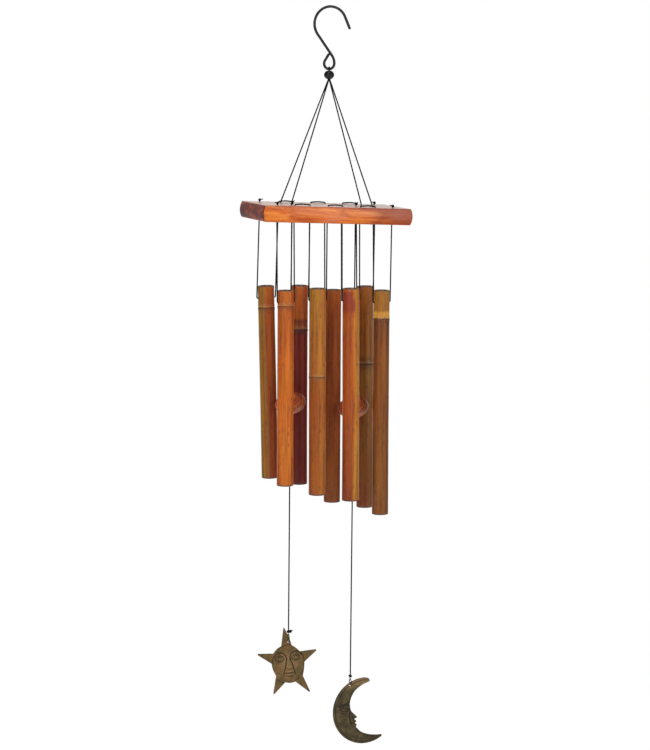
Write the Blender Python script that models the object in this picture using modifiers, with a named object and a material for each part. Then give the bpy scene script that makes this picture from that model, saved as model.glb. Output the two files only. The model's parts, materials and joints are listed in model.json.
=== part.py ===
"""Wind chime: eight bamboo tubes in two rows under a wooden bar, two turned wooden clappers between
the rows, and a cast star and a cast crescent moon hanging below them, all on cord from a wire S-hook.

Metres, +Z up, +X along the bar, +Y from the front row to the rear row. The origin is the inside top
of the hook, where it rests on whatever it is hung from.
"""

import math

import bmesh
import bpy
from mathutils import Matrix, Vector

MM = 0.001

# Cord and running gaps
CORD_R = 0.65 * MM
LOOP_CORD_R = 0.6 * MM
GAP = 0.3 * MM
CORD_BEND_R = 1.8 * MM
STITCH_BEND_R = 1.6 * MM
STITCH_RISE = 0.5 * MM
LEAD_BEND_R = 1.2 * MM

# Knots: those on the bar's top, which lean over a little, and those on the clappers' cords
BAR_KNOT_R = 1.8 * MM
KNOT_LIE = 0.5 * MM
KNOT_LIFT = 0.5 * MM
PENDANT_KNOT_R = 1.9 * MM

# S-hook
WIRE_R = 1.6 * MM
HOOK_R = 20.4 * MM
HOOK_TAIL_ANGLE = 24.0
HOOK_TAIL = 15.9 * MM
HOOK_TURN = 36.5
HOOK_SHANK = 31.2 * MM
HOOK_BEND_R = 16.0 * MM
EYE_R = 6.5 * MM
EYE_END_ANGLE = 33.0
EYE_RETURN = 8.6 * MM

# Cord loop, bead and the knot inside it
LOOP_LEG_Y = 0.78 * MM
BEAD_R = 6.2 * MM
BEAD_H = 9.8 * MM
BEAD_BORE_R = 2.2 * MM
BEAD_GAP = 0.44 * MM
LOOP_WAIST = 1.6 * MM
SWAY_DROP = 5.4 * MM
GATHER_R = 1.6 * MM

# Bar
BAR_W = 185.5 * MM
BAR_D = 82.0 * MM
BAR_T = 19.7 * MM
BAR_END_BULGE = 2.8 * MM
BAR_EDGE = 1.1 * MM
BAR_TILT = math.radians(2.4)
BAR_X = -2.85 * MM
BAR_Z = -233.6 * MM
BAR_HOLE_R = 1.05 * MM

# Holes in the bar
PITCH = 41.8 * MM
ROW_Y = 28.25 * MM
SUSPENSION_X = 52.4 * MM
SUSPENSION_Y = 17.5 * MM
LEAD_X = 0.82 * MM
LEAD_Y = 0.8 * MM
LEAD_DROP = 5.4 * MM
LEAD_LENGTH = 1.4 * MM
HOLE_END = 0.4 * MM
UNDER_BAR = -0.05 * MM
CLAPPER_X = (-43.8 * MM, 38.4 * MM)

# Bamboo tubes, left to right, taken in pairs: one of the rear row, then its neighbour in the front row
TUBE_R = [m * MM for m in (10.1, 9.9, 10.3, 10.1, 10.0, 10.3, 10.2, 9.9)]
TUBE_WALL = 2.1 * MM
TUBE_TOP = [m * MM for m in (98.0, 98.1, 98.8, 96.9, 105.3, 98.2, 102.2, 101.6)]
TUBE_LENGTH = [m * MM for m in (234.5, 234.5, 243.3, 249.2, 261.7, 257.4, 273.8, 273.1)]
TUBE_LEAN = [math.radians(a) for a in (1.8, 0.3, 0.2, 0.3, 0.1, 0.5, 0.6, 0.4)]
TUBE_DRIFT = [m * MM for m in (-3.2, 0.4, -1.6, -0.8, 0.4, 0.2, 0.8, -1.6)]
TUBE_RING = [m * MM for m in (26.0, 18.5, 50.0, 106.0, 0.0, 0.0, 95.0, 32.0)]
CROSS_HOLE_DROP = 14.5 * MM
CROSS_HOLE_R = 1.1 * MM
TUBE_EDGE = 0.5 * MM
TUBE_TAPER = 0.25 * MM
LEG_GAP = 0.3 * MM

# A cane ring's shape: how far below its middle and how far out, in millimetres
RING_SHAPE = ((-4.0, 0.0), (-1.6, 0.35), (-0.4, 0.5), (0.5, -0.35), (1.6, 0.3), (4.5, 0.0))
CORD_BEND_R = 1.8 * MM
STITCH_BEND_R = 1.6 * MM
STITCH_RISE = 0.5 * MM
LEAD_BEND_R = 1.2 * MM

# Knots: those on the bar's top, which lean over a little, and those on the clappers' cords
BAR_KNOT_R = 1.8 * MM
KNOT_LIE = 0.5 * MM
KNOT_LIFT = 0.5 * MM
PENDANT_KNOT_R = 1.9 * MM

# Clapper discs
DISC_R = 18.6 * MM
DISC_T = 6.4 * MM
DISC_Z = (-471.6 * MM, -480.2 * MM)
DISC_TILT = math.radians(34.0)
DISC_TURN = math.radians(-38.0)
DISC_EYE_R = 1.35 * MM
DISC_MOUTH_R = 3.7 * MM
STOPPER_DROP = 6.6 * MM
DISC_CORD_END = 1.6 * MM

# Cast charms
STAR_T = 1.8 * MM
MOON_T = 3.5 * MM
CHARM_HOLE_R = 1.8 * MM
STAR_KNOT_Z = -752.6 * MM
STAR_HOLE_Z = -765.4 * MM
MOON_KNOT_Z = -815.0 * MM
MOON_HOLE_Z = -826.5 * MM
TIE_HALF_Y = 2.9 * MM
TIE_SLACK = 0.9 * MM
CAST_EDGE = 0.5 * MM

# Star: its edge, clockwise from the tip of the top arm, in millimetres about the middle of the face.
# The five arms are the points furthest out; between them the edge follows an egg-shaped face.
STAR_EDGE = (
    (-6.3, 44.5), (-5.2, 44.5), (1.6, 31.5), (4.6, 22.2), (10.0, 18.7), (15.3, 13.6), (36.4, 14.6),
    (37.2, 12.9), (21.6, 0.2), (21.1, -9.1), (19.6, -17.0), (29.4, -37.6), (28.2, -38.4), (9.8, -23.8),
    (3.2, -25.0), (-3.3, -23.6), (-17.6, -37.4), (-18.8, -36.3), (-15.3, -14.8), (-19.4, -7.0),
    (-21.1, 0.8), (-39.6, 13.2), (-39.2, 14.9), (-18.9, 13.5), (-14.8, 18.6), (-8.9, 21.8),
)
FACE_HALF_W = 18.2 * MM
FACE_HALF_H = 21.6 * MM
FACE_DROP = 26.5 * MM
FACE_DOME = 1.4 * MM
STAR_SHIFT = -0.4 * MM

# Moon: an outer circle, and an inner edge from the upper tip past brow, nose, lips and chin to the
# lower tip, in millimetres from the hole
MOON_R = 41.6 * MM
MOON_CENTRE = (19.5 * MM, -33.6 * MM)
MOON_SWEEP = (88.0, 304.0)
MOON_FACE = (
    (24.4, 6.9), (25.9, 4.8), (25.2, 2.7), (18.3, 0.3), (11.7, -3.3), (5.7, -8.5), (1.8, -15.1),
    (-0.1, -22.5), (0.4, -28.3), (1.7, -32.4), (4.0, -35.2), (9.5, -40.9), (6.1, -43.0), (9.0, -46.2),
    (7.1, -48.0), (9.6, -50.6), (8.3, -52.6), (10.5, -55.6), (15.7, -60.4), (24.5, -64.1),
    (34.0, -65.9), (43.2, -66.2),
)
MOON_SHIFT = -0.35 * MM

PARTS = bpy.data.collections.new("wind_chime")
CUTTERS = bpy.data.collections.new("cutters")


def clear_scene():
    for obj in list(bpy.data.objects):
        bpy.data.objects.remove(obj, do_unlink=True)
    for group in (PARTS, CUTTERS):
        bpy.context.scene.collection.children.link(group)


def paint(obj, colour, roughness, metallic=0.0):
    """The piece's own material."""
    made = bpy.data.materials.new(obj.name)
    made.use_nodes = True
    shader = made.node_tree.nodes["Principled BSDF"]
    shader.inputs["Base Color"].default_value = (*colour, 1.0)
    shader.inputs["Roughness"].default_value = roughness
    shader.inputs["Metallic"].default_value = metallic
    made.diffuse_color = (*colour, 1.0)
    obj.data.materials.append(made)
    return obj


def node(name, data, origin=(0, 0, 0)):
    obj = bpy.data.objects.new(name, data)
    obj.location = origin
    PARTS.objects.link(obj)
    return obj


def cutter(name, data):
    obj = bpy.data.objects.new(name, data)
    obj.hide_render = True
    obj.display_type = "WIRE"
    CUTTERS.objects.link(obj)
    return obj


def cord(obj):
    return paint(obj, (0.012, 0.011, 0.011), 0.75)


def bamboo(obj, colour):
    return paint(obj, colour, 0.3)


def bronze(obj, colour):
    return paint(obj, colour, 0.45, 0.9)


def rounded(points, radius, steps=3):
    """The same path with each inner corner turned into a short curve."""
    points = [Vector(p) for p in points]
    path = [points[0]]
    for before, corner, after in zip(points, points[1:], points[2:]):
        cut = min(radius, (corner - before).length * 0.45, (after - corner).length * 0.45)
        first = corner + (before - corner).normalized() * cut
        last = corner + (after - corner).normalized() * cut
        for i in range(steps + 1):
            t = i / steps
            path.append((1 - t) ** 2 * first + 2 * t * (1 - t) * corner + t * t * last)
    return path + [points[-1]]


def wire(name, points, radius, origin=(0, 0, 0), swell=None, closed=False, resolution=2):
    """A round cord or wire along the points; swell scales its radius at each point, as in a knot."""
    curve = bpy.data.curves.new(name, "CURVE")
    curve.dimensions = "3D"
    curve.bevel_depth = radius
    curve.bevel_resolution = resolution
    curve.use_fill_caps = True
    spline = curve.splines.new("POLY")
    spline.points.add(len(points) - 1)
    for i, (slot, point) in enumerate(zip(spline.points, points)):
        slot.co = (*(Vector(point) - Vector(origin)), 1.0)
        slot.radius = swell[i] if swell else 1.0
    spline.use_cyclic_u = closed
    return node(name, curve, origin)


def knot_path(centre, radius, down, cord_r=CORD_R):
    """Points and swell factors of a round knot at centre, walked along the unit vector down."""
    points, swell = [], []
    for share in (-1.0, -0.8, -0.35, 0.35, 0.8, 1.0):
        points.append(Vector(centre) + Vector(down) * radius * share)
        swell.append(max(radius * math.sqrt(max(1 - share**2, 0.0)) / cord_r, 0.45))
    return points, swell


def turned(name, profile, segments, origin=(0, 0, 0)):
    """A body of revolution about its own Z from a closed profile of (radius, height) points."""
    mesh = bpy.data.meshes.new(name)
    count = len(profile)
    edges = [(i, (i + 1) % count) for i in range(count)]
    mesh.from_pydata([(r, 0, z) for r, z in profile], edges, [])
    obj = node(name, mesh, origin)
    screw = obj.modifiers.new("Screw", "SCREW")
    screw.angle = math.tau
    screw.steps = screw.render_steps = segments
    screw.use_merge_vertices = True
    screw.merge_threshold = 0.00001
    screw.use_smooth_shade = True
    return obj


def drill(obj, name, holes, segments=10):
    """Cuts round holes given as (centre, direction, radius, length) in world space."""
    bm = bmesh.new()
    for centre, direction, radius, length in holes:
        turn = Vector(direction).to_track_quat("Z", "Y").to_matrix().to_4x4()
        bmesh.ops.create_cone(
            bm, cap_ends=True, segments=segments, radius1=radius, radius2=radius,
            depth=length, matrix=Matrix.Translation(centre) @ turn,
        )
    mesh = bpy.data.meshes.new(name)
    bm.to_mesh(mesh)
    bm.free()
    cut = obj.modifiers.new(name, "BOOLEAN")
    cut.operation = "DIFFERENCE"
    cut.solver = "EXACT"
    cut.object = cutter(name, mesh)


def arc(centre, radius, start, end, steps):
    """Points on an upright arc in the XZ plane, angles in degrees."""
    angles = [math.radians(start + (end - start) * i / steps) for i in range(steps + 1)]
    return [Vector((centre[0] + radius * math.cos(a), 0, centre[1] + radius * math.sin(a))) for a in angles]


def hook_path():
    """The S-hook's centreline, from the tip of its open hook to the end of its closed eye."""
    crown = (0.0, WIRE_R - HOOK_R)
    bow = arc(crown, HOOK_R, HOOK_TAIL_ANGLE, 180 + HOOK_TURN, 22)
    a = math.radians(HOOK_TAIL_ANGLE)
    tip = bow[0] + Vector((math.sin(a), 0, -math.cos(a))) * HOOK_TAIL
    b = math.radians(HOOK_TURN)
    bend_start = bow[-1] + Vector((math.sin(b), 0, -math.cos(b))) * HOOK_SHANK
    bend_centre = bend_start - Vector((math.cos(b), 0, math.sin(b))) * HOOK_BEND_R
    bend = arc((bend_centre.x, bend_centre.z), HOOK_BEND_R, HOOK_TURN, 0, 5)
    eye_centre = bend[-1] - Vector((EYE_R, 0, 0))
    eye = arc((eye_centre.x, eye_centre.z), EYE_R, 0, -180 - EYE_END_ANGLE, 16)
    c = math.radians(EYE_END_ANGLE)
    end = eye[-1] + Vector((math.sin(c), 0, math.cos(c))) * EYE_RETURN
    return [tip] + bow + bend + eye[1:] + [end], eye_centre - Vector((0, 0, EYE_R))


def eye_bottom():
    """The middle of the wire at the lowest point of the hook's eye, which the cord loop hangs on."""
    return hook_path()[1]


def s_hook():
    path, _ = hook_path()
    return paint(wire("s_hook", path, WIRE_R), (0.02, 0.02, 0.022), 0.4, 0.6)


def sway_pivot():
    return eye_bottom() + Vector((0, 0, -WIRE_R - BEAD_GAP - SWAY_DROP))


def hang_loop():
    """A short closed loop of cord over the eye's wire, with both legs going down into the bead."""
    top = eye_bottom()
    around = WIRE_R + GAP + LOOP_CORD_R
    over = [
        top + Vector((0, -around * math.cos(math.pi * i / 6), around * math.sin(math.pi * i / 6)))
        for i in range(7)
    ]
    waist = top.z - WIRE_R - LOOP_WAIST
    low = sway_pivot().z
    right = [Vector((top.x, LOOP_LEG_Y, waist)), Vector((top.x, LOOP_LEG_Y, low))]
    turn = [
        Vector((top.x, LOOP_LEG_Y * math.cos(a), low - LOOP_LEG_Y * math.sin(a)))
        for a in (math.pi * 0.25, math.pi * 0.5, math.pi * 0.75)
    ]
    left = [Vector((top.x, -LOOP_LEG_Y, low)), Vector((top.x, -LOOP_LEG_Y, waist))]
    return cord(wire("hang_loop", over + right + turn + left, LOOP_CORD_R, top, closed=True))


def bead():
    """A round bead with a bore for the cords, its ends flattened."""
    top = eye_bottom().z - WIRE_R - BEAD_GAP
    centre = Vector((eye_bottom().x, 0, top - BEAD_H / 2))
    half = BEAD_H / 2
    profile = []
    for degrees in (64, 50, 30, 10, -10, -30, -50, -64):
        a = math.radians(degrees)
        profile.append((BEAD_R * math.cos(a), half * math.sin(a) / math.sin(math.radians(64))))
    profile += [(BEAD_BORE_R, -half), (BEAD_BORE_R, half)]
    obj = turned("bead", profile, 20, centre)
    return paint(obj, (0.012, 0.012, 0.012), 0.2)


def gather_knot():
    """The knot inside the bead that ties the bar's cords to the loop."""
    low = sway_pivot().z - LOOP_LEG_Y - LOOP_CORD_R - GAP
    centre = Vector((eye_bottom().x, 0, low - GATHER_R))
    bm = bmesh.new()
    bmesh.ops.create_uvsphere(bm, u_segments=10, v_segments=6, radius=GATHER_R)
    mesh = bpy.data.meshes.new("gather_knot")
    bm.to_mesh(mesh)
    bm.free()
    return cord(node("gather_knot", mesh, centre))


def on_bar(x, y, z):
    """A point given along, across and above the bar's top, in world space."""
    turn = Matrix.Rotation(BAR_TILT, 3, "Y")
    return Vector((BAR_X, 0, BAR_Z)) + turn @ Vector((x, y, z))


def suspension_cord(name, side):
    """One cord: bead, down through the front hole, back under the bar, up the rear hole, bead."""
    start = Vector((eye_bottom().x + side * LEAD_X, 0, sway_pivot().z - LEAD_DROP))
    x, y, under = side * SUSPENSION_X, SUSPENSION_Y, -BAR_T - CORD_R - GAP
    half = []
    for sign in (-1, 1):
        lead = start + Vector((0, sign * LEAD_Y, 0))
        half.append([lead, lead - Vector((0, 0, LEAD_LENGTH)), on_bar(x, sign * y, 0.8 * MM),
                     on_bar(x, sign * y, under)])
    path = rounded(half[0] + half[1][::-1], LEAD_BEND_R)
    return cord(wire(name, path, CORD_R, start))


def bar():
    """The wooden bar: a plank with gently rounded ends, drilled for every cord."""
    profile = []
    half, deep = BAR_W / 2, BAR_T / 2
    round_r = (deep**2 + BAR_END_BULGE**2) / (2 * BAR_END_BULGE)
    reach = math.asin(deep / round_r)
    for side in (1, -1):
        for i in range(7):
            a = reach * (1 - i / 3)
            x = half + BAR_END_BULGE - round_r + round_r * math.cos(a)
            profile.append((side * x, -deep + side * round_r * math.sin(a)))
    bm = bmesh.new()
    front = [bm.verts.new((x, -BAR_D / 2, z)) for x, z in profile]
    face = bm.faces.new(front)
    back = bmesh.ops.extrude_face_region(bm, geom=[face])["geom"]
    bmesh.ops.translate(bm, verts=[v for v in back if isinstance(v, bmesh.types.BMVert)],
                        vec=(0, BAR_D, 0))
    bmesh.ops.recalc_face_normals(bm, faces=bm.faces)
    mesh = bpy.data.meshes.new("top_bar")
    bm.to_mesh(mesh)
    bm.free()
    obj = node("top_bar", mesh, (BAR_X, 0, BAR_Z))
    obj.rotation_euler = (0, BAR_TILT, 0)
    edge = obj.modifiers.new("Edges", "BEVEL")
    edge.width = BAR_EDGE
    edge.segments = 2
    edge.limit_method = "ANGLE"
    edge.angle_limit = math.radians(40)
    down = on_bar(0, 0, -1) - on_bar(0, 0, 0)
    places = [(x, row * ROW_Y) for row in (-1, 1) for x in leg_holes(row)]
    places += [(x, 0) for x in CLAPPER_X]
    places += [(s * SUSPENSION_X, t * SUSPENSION_Y) for s in (-1, 1) for t in (-1, 1)]
    drill(obj, "bar_holes",
          [(on_bar(x, y, -BAR_T / 2), down, BAR_HOLE_R, BAR_T * 1.5) for x, y in places], 8)
    return paint(obj, (0.52, 0.2, 0.07), 0.3)


def tube_index(row, column):
    return 2 * column + (0 if row > 0 else 1)


def leg_reach(index):
    """How far each cord leg stands from its tube's middle, with room for a tube that hangs askew."""
    askew = CROSS_HOLE_DROP * (math.sin(TUBE_LEAN[index]) - TUBE_DRIFT[index] / TUBE_TOP[index])
    return TUBE_R[index] + LEG_GAP + CORD_R + abs(askew)


def column_x(column):
    return (column - 1.5) * PITCH


def leg_holes(row):
    """Where one row's tube cords pass through the bar, left to right."""
    found = []
    for column in range(4):
        reach = leg_reach(tube_index(row, column))
        found += [column_x(column) - reach, column_x(column) + reach]
    return found


def stitch(name, row, number):
    """The cord between two neighbouring tubes: up one hole, over the bar's top, down the next."""
    left, right = leg_holes(row)[2 * number - 1:2 * number + 1]
    y, low, high = row * ROW_Y, -BAR_T + HOLE_END, CORD_R + GAP
    middle = (left + right) / 2
    path = [on_bar(left, y, low), on_bar(left, y, high), on_bar(middle, y, high + STITCH_RISE),
            on_bar(right, y, high), on_bar(right, y, low)]
    return cord(wire(name, rounded(path, STITCH_BEND_R), CORD_R, on_bar(middle, y, 0)))


def stopper(name, x, y, lie):
    """A knot on the bar's top with its cord going down through the hole; lie leans the knot over."""
    low, high = on_bar(x, y, -BAR_T + HOLE_END), on_bar(x, y, GAP)
    centre = on_bar(x + lie * KNOT_LIE, y, BAR_KNOT_R + KNOT_LIFT)
    up = (centre - high).normalized()
    knot, swell = knot_path(centre, BAR_KNOT_R, up)
    return cord(wire(name, [low, high] + knot[1:], CORD_R, high, [1.0, 1.0] + swell[1:]))


def tube_seat(index):
    """The middle of a tube's cross holes, the unit vector along them, and the tube's own up."""
    column, row = index // 2, (1 if index % 2 == 0 else -1)
    x = on_bar(column_x(column), 0, 0).x + TUBE_DRIFT[index]
    z = BAR_Z - TUBE_TOP[index] - CROSS_HOLE_DROP
    turn = Matrix.Rotation(-TUBE_LEAN[index], 3, "Y")
    return Vector((x, row * ROW_Y, z)), turn @ Vector((1, 0, 0)), turn @ Vector((0, 0, 1))


def tube_cord(index):
    """One cord that carries a tube: down one side, through the two cross holes, up the other."""
    column, row = index // 2, (1 if index % 2 == 0 else -1)
    seat, across, _ = tube_seat(index)
    reach = leg_reach(index)
    tops = [on_bar(column_x(column) + s * reach, row * ROW_Y, -BAR_T + UNDER_BAR) for s in (-1, 1)]
    path = [tops[0], seat - across * reach, seat + across * reach, tops[1]]
    origin = on_bar(column_x(column), row * ROW_Y, -BAR_T + UNDER_BAR)
    return cord(wire(f"tube_cord_{index + 1}", rounded(path, CORD_BEND_R), CORD_R, origin))


def tube_profile(index):
    """The bamboo's outline from the top of its outside down, then back up its bore."""
    r, length, ring = TUBE_R[index], TUBE_LENGTH[index], TUBE_RING[index]
    outer = [(r - TUBE_EDGE, 0.0), (r, -TUBE_EDGE)]
    if ring:
        outer += [(r + swell * MM, -ring - step * MM) for step, swell in RING_SHAPE]
    foot = r + TUBE_TAPER
    outer += [(r + TUBE_TAPER * 0.5, -length * 0.7), (foot, -length + TUBE_EDGE), (foot - TUBE_EDGE, -length)]
    bore = r - TUBE_WALL
    inner = [(bore + 0.3 * MM, -length), (bore, -length + 1.0 * MM), (bore, -1.0 * MM), (bore + 0.3 * MM, 0.0)]
    return outer + inner


def tube(index, colour):
    """One bamboo tube, hung on the cord through its two cross holes."""
    seat, across, up = tube_seat(index)
    obj = turned(
        f"bamboo_tube_{index + 1}", [(r, z + CROSS_HOLE_DROP) for r, z in tube_profile(index)], 18, seat
    )
    obj.rotation_euler = (0, -TUBE_LEAN[index], 0)
    drill(obj, f"tube_holes_{index + 1}", [(seat, across, CROSS_HOLE_R, 40 * MM)], 8)
    return bamboo(obj, colour)


def clapper_x(number):
    return on_bar(CLAPPER_X[number], 0, -BAR_T).x


def clapper_cord(number):
    """From under the bar down into the disc."""
    top = on_bar(CLAPPER_X[number], 0, -BAR_T + UNDER_BAR)
    low = Vector((top.x, 0, DISC_Z[number] - DISC_CORD_END))
    return cord(wire(f"clapper_cord_{number + 1}", [top, (top + low) / 2, low], CORD_R, top))


def disc_turn():
    """How the disc has flopped over on its knot: tipped forward, and round to the left."""
    return Matrix.Rotation(DISC_TURN, 3, "Z") @ Matrix.Rotation(DISC_TILT, 3, "X")


def disc(number):
    """A turned wooden disc with a rounded rim and a hole flared from both faces."""
    half = DISC_T / 2
    rim = DISC_R - half
    profile = [(DISC_MOUTH_R, half), (rim * 0.85, half)]
    profile += [
        (rim + half * math.cos(math.radians(a)), half * math.sin(math.radians(a)))
        for a in (75, 45, 15, -15, -45, -75)
    ]
    profile += [(rim * 0.85, -half), (DISC_MOUTH_R, -half), (DISC_EYE_R, 0.0)]
    obj = turned(f"clapper_disc_{number + 1}", profile, 24, (clapper_x(number), 0, DISC_Z[number]))
    obj.rotation_euler = disc_turn().to_euler()
    return paint(obj, (0.36, 0.1, 0.04), 0.35)


def charm_knot_z(number):
    return (STAR_KNOT_Z, MOON_KNOT_Z)[number]


def pendant_cord(number):
    """The stopper knot under the disc, the long cord below it, and the knot above the charm."""
    x, z = clapper_x(number), DISC_Z[number]
    down = Vector((0, 0, -1))
    first, swell_a = knot_path((x, 0, z - STOPPER_DROP), PENDANT_KNOT_R, down)
    last, swell_b = knot_path((x, 0, charm_knot_z(number)), PENDANT_KNOT_R, down)
    swell_a[-1] = swell_b[0] = 1.0
    name = ("star_cord", "moon_cord")[number]
    return cord(wire(name, first + last, CORD_R, (x, 0, z), swell_a + swell_b))


def charm_hole(number):
    return Vector((clapper_x(number), 0, (STAR_HOLE_Z, MOON_HOLE_Z)[number]))


def charm_rest(number):
    """The middle of the tie's lowest strand, which the charm's hole hangs on."""
    return charm_hole(number) + Vector((0, 0, CHARM_HOLE_R - LOOP_CORD_R - TIE_SLACK))


def charm_tie(number):
    """A loop of cord from the knot through the charm's hole."""
    rest = charm_rest(number)
    top = charm_knot_z(number) - PENDANT_KNOT_R - GAP - LOOP_CORD_R
    centre = (top + rest.z) / 2
    half = (top - rest.z) / 2
    path = []
    for i in range(16):
        a = math.tau * i / 16
        square = 1.0 / max(abs(math.cos(a)) ** 3 + abs(math.sin(a)) ** 3, 0.7) ** (1 / 3)
        path.append(Vector((rest.x, TIE_HALF_Y * math.cos(a) * square, centre + half * math.sin(a))))
    name = ("star_tie", "moon_tie")[number]
    return cord(wire(name, path, LOOP_CORD_R, rest, closed=True))


def plate(name, outline, thickness, origin):
    """A flat casting in the XZ plane from its outline, with softened edges, as a mesh."""
    curve = bpy.data.curves.new(name, "CURVE")
    curve.dimensions = "2D"
    curve.fill_mode = "BOTH"
    curve.extrude = thickness / 2 - CAST_EDGE
    curve.bevel_depth = CAST_EDGE
    curve.bevel_resolution = 0
    curve.offset = -CAST_EDGE
    spline = curve.splines.new("POLY")
    spline.points.add(len(outline) - 1)
    for slot, (x, z) in zip(spline.points, outline):
        slot.co = (x, z, 0, 1)
    spline.use_cyclic_u = True
    shape = bpy.data.objects.new(name + "_outline", curve)
    CUTTERS.objects.link(shape)
    bpy.context.view_layer.update()
    mesh = bpy.data.meshes.new_from_object(shape.evaluated_get(bpy.context.evaluated_depsgraph_get()))
    bpy.data.objects.remove(shape, do_unlink=True)
    mesh.transform(Matrix.Rotation(math.pi / 2, 4, "X"))
    bm = bmesh.new()
    bm.from_mesh(mesh)
    bmesh.ops.remove_doubles(bm, verts=bm.verts, dist=0.00002)
    bmesh.ops.recalc_face_normals(bm, faces=bm.faces)
    bm.to_mesh(mesh)
    bm.free()
    return node(name, mesh, origin)


def star():
    """A cast five-armed star with a domed oval face."""
    hole = charm_hole(0)
    centre = Vector((STAR_SHIFT, 0, -FACE_DROP))
    outline = [(x * MM + centre.x, z * MM + centre.z) for x, z in STAR_EDGE]
    obj = plate("star_charm", outline, STAR_T, hole)
    bm = bmesh.new()
    bmesh.ops.create_uvsphere(bm, u_segments=18, v_segments=8, radius=1.0)
    bmesh.ops.scale(bm, vec=(FACE_HALF_W, STAR_T / 2 + FACE_DOME, FACE_HALF_H), verts=bm.verts)
    keep = bmesh.ops.bisect_plane(bm, geom=bm.verts[:] + bm.edges[:] + bm.faces[:], plane_co=(0, 0, 0),
                                  plane_no=(0, 1, 0), clear_outer=True)
    bmesh.ops.holes_fill(bm, edges=[e for e in keep["geom_cut"] if isinstance(e, bmesh.types.BMEdge)])
    bmesh.ops.translate(bm, verts=bm.verts, vec=hole + centre)
    bmesh.ops.recalc_face_normals(bm, faces=bm.faces)
    mesh = bpy.data.meshes.new("star_dome")
    bm.to_mesh(mesh)
    bm.free()
    join = obj.modifiers.new("Dome", "BOOLEAN")
    join.operation = "UNION"
    join.solver = "EXACT"
    join.object = cutter("star_dome", mesh)
    drill(obj, "star_hole", [(hole, (0, 1, 0), CHARM_HOLE_R, 20 * MM)], 12)
    return bronze(obj, (0.3, 0.2, 0.11))


def smooth(points, steps):
    """A smooth line through every point."""
    points = [Vector(p) for p in points]
    ends = [2 * points[0] - points[1]] + points + [2 * points[-1] - points[-2]]
    line = []
    for a, b, c, d in zip(ends, ends[1:], ends[2:], ends[3:]):
        for i in range(steps):
            t = i / steps
            line.append(0.5 * (2 * b + (c - a) * t + (2 * a - 5 * b + 4 * c - d) * t**2
                               + (3 * b - a - 3 * c + d) * t**3))
    return line + [points[-1]]


def moon_outline():
    """The crescent: round its outside from the upper tip to the lower, back along the face."""
    outer = [(p.x, p.z) for p in arc(MOON_CENTRE, MOON_R, *MOON_SWEEP, 26)]
    inner = [(p.x * MM, p.y * MM) for p in smooth(MOON_FACE, 2)][::-1]
    return [(x + MOON_SHIFT, z) for x, z in outer + inner]


def moon():
    """A cast crescent moon whose inner edge is the profile of a face."""
    hole = charm_hole(1)
    obj = plate("moon_charm", moon_outline(), MOON_T, hole)
    drill(obj, "moon_hole", [(hole, (0, 1, 0), CHARM_HOLE_R, 20 * MM)], 12)
    return bronze(obj, (0.17, 0.13, 0.075))


BAMBOO_COLOURS = (
    (0.3, 0.15, 0.04), (0.6, 0.25, 0.05), (0.2, 0.06, 0.025), (0.42, 0.2, 0.05),
    (0.19, 0.06, 0.02), (0.62, 0.24, 0.05), (0.22, 0.1, 0.035), (0.33, 0.14, 0.045),
)

clear_scene()
s_hook()
hang_loop()
bead()
gather_knot()
suspension_cord("suspension_cord_left", -1)
suspension_cord("suspension_cord_right", 1)
bar()
for row_name, row_side in (("rear", 1), ("front", -1)):
    holes = leg_holes(row_side)
    stopper(f"{row_name}_knot_left", holes[0], row_side * ROW_Y, -1)
    stopper(f"{row_name}_knot_right", holes[-1], row_side * ROW_Y, 1)
    for gap_number in (1, 2, 3):
        stitch(f"{row_name}_stitch_{gap_number}", row_side, gap_number)
for tube_number in range(8):
    tube_cord(tube_number)
    tube(tube_number, BAMBOO_COLOURS[tube_number])
for side_number in (0, 1):
    stopper(f"clapper_knot_{side_number + 1}", CLAPPER_X[side_number], 0, 0)
    clapper_cord(side_number)
    disc(side_number)
    pendant_cord(side_number)
    charm_tie(side_number)
star()
moon()
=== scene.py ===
"""How the bamboo wind chime looks: cane, stained wood, cord, black hook and cast charms, on the CAD frame."""

import json
import math

import bmesh
import bpy
import numpy as np
from mathutils import Matrix, Vector, noise


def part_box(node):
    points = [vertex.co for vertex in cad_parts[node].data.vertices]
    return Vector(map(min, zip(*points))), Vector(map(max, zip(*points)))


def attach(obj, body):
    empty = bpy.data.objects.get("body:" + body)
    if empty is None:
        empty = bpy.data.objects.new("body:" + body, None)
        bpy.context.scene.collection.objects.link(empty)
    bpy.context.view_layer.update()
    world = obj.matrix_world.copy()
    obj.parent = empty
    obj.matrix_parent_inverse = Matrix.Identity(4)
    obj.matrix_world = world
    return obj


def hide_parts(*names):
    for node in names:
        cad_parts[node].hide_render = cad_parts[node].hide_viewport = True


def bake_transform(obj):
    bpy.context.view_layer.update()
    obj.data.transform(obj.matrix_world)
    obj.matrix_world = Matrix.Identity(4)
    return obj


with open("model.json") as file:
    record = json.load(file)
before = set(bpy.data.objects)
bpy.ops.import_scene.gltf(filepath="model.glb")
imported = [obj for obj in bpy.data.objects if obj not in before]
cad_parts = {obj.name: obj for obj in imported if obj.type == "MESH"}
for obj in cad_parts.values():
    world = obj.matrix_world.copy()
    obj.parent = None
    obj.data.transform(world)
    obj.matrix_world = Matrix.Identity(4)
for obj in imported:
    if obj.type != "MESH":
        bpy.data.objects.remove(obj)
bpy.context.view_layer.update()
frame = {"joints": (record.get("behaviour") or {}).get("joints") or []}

MM = 0.001
JOINTS = {joint["name"]: joint for joint in frame["joints"]}

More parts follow.
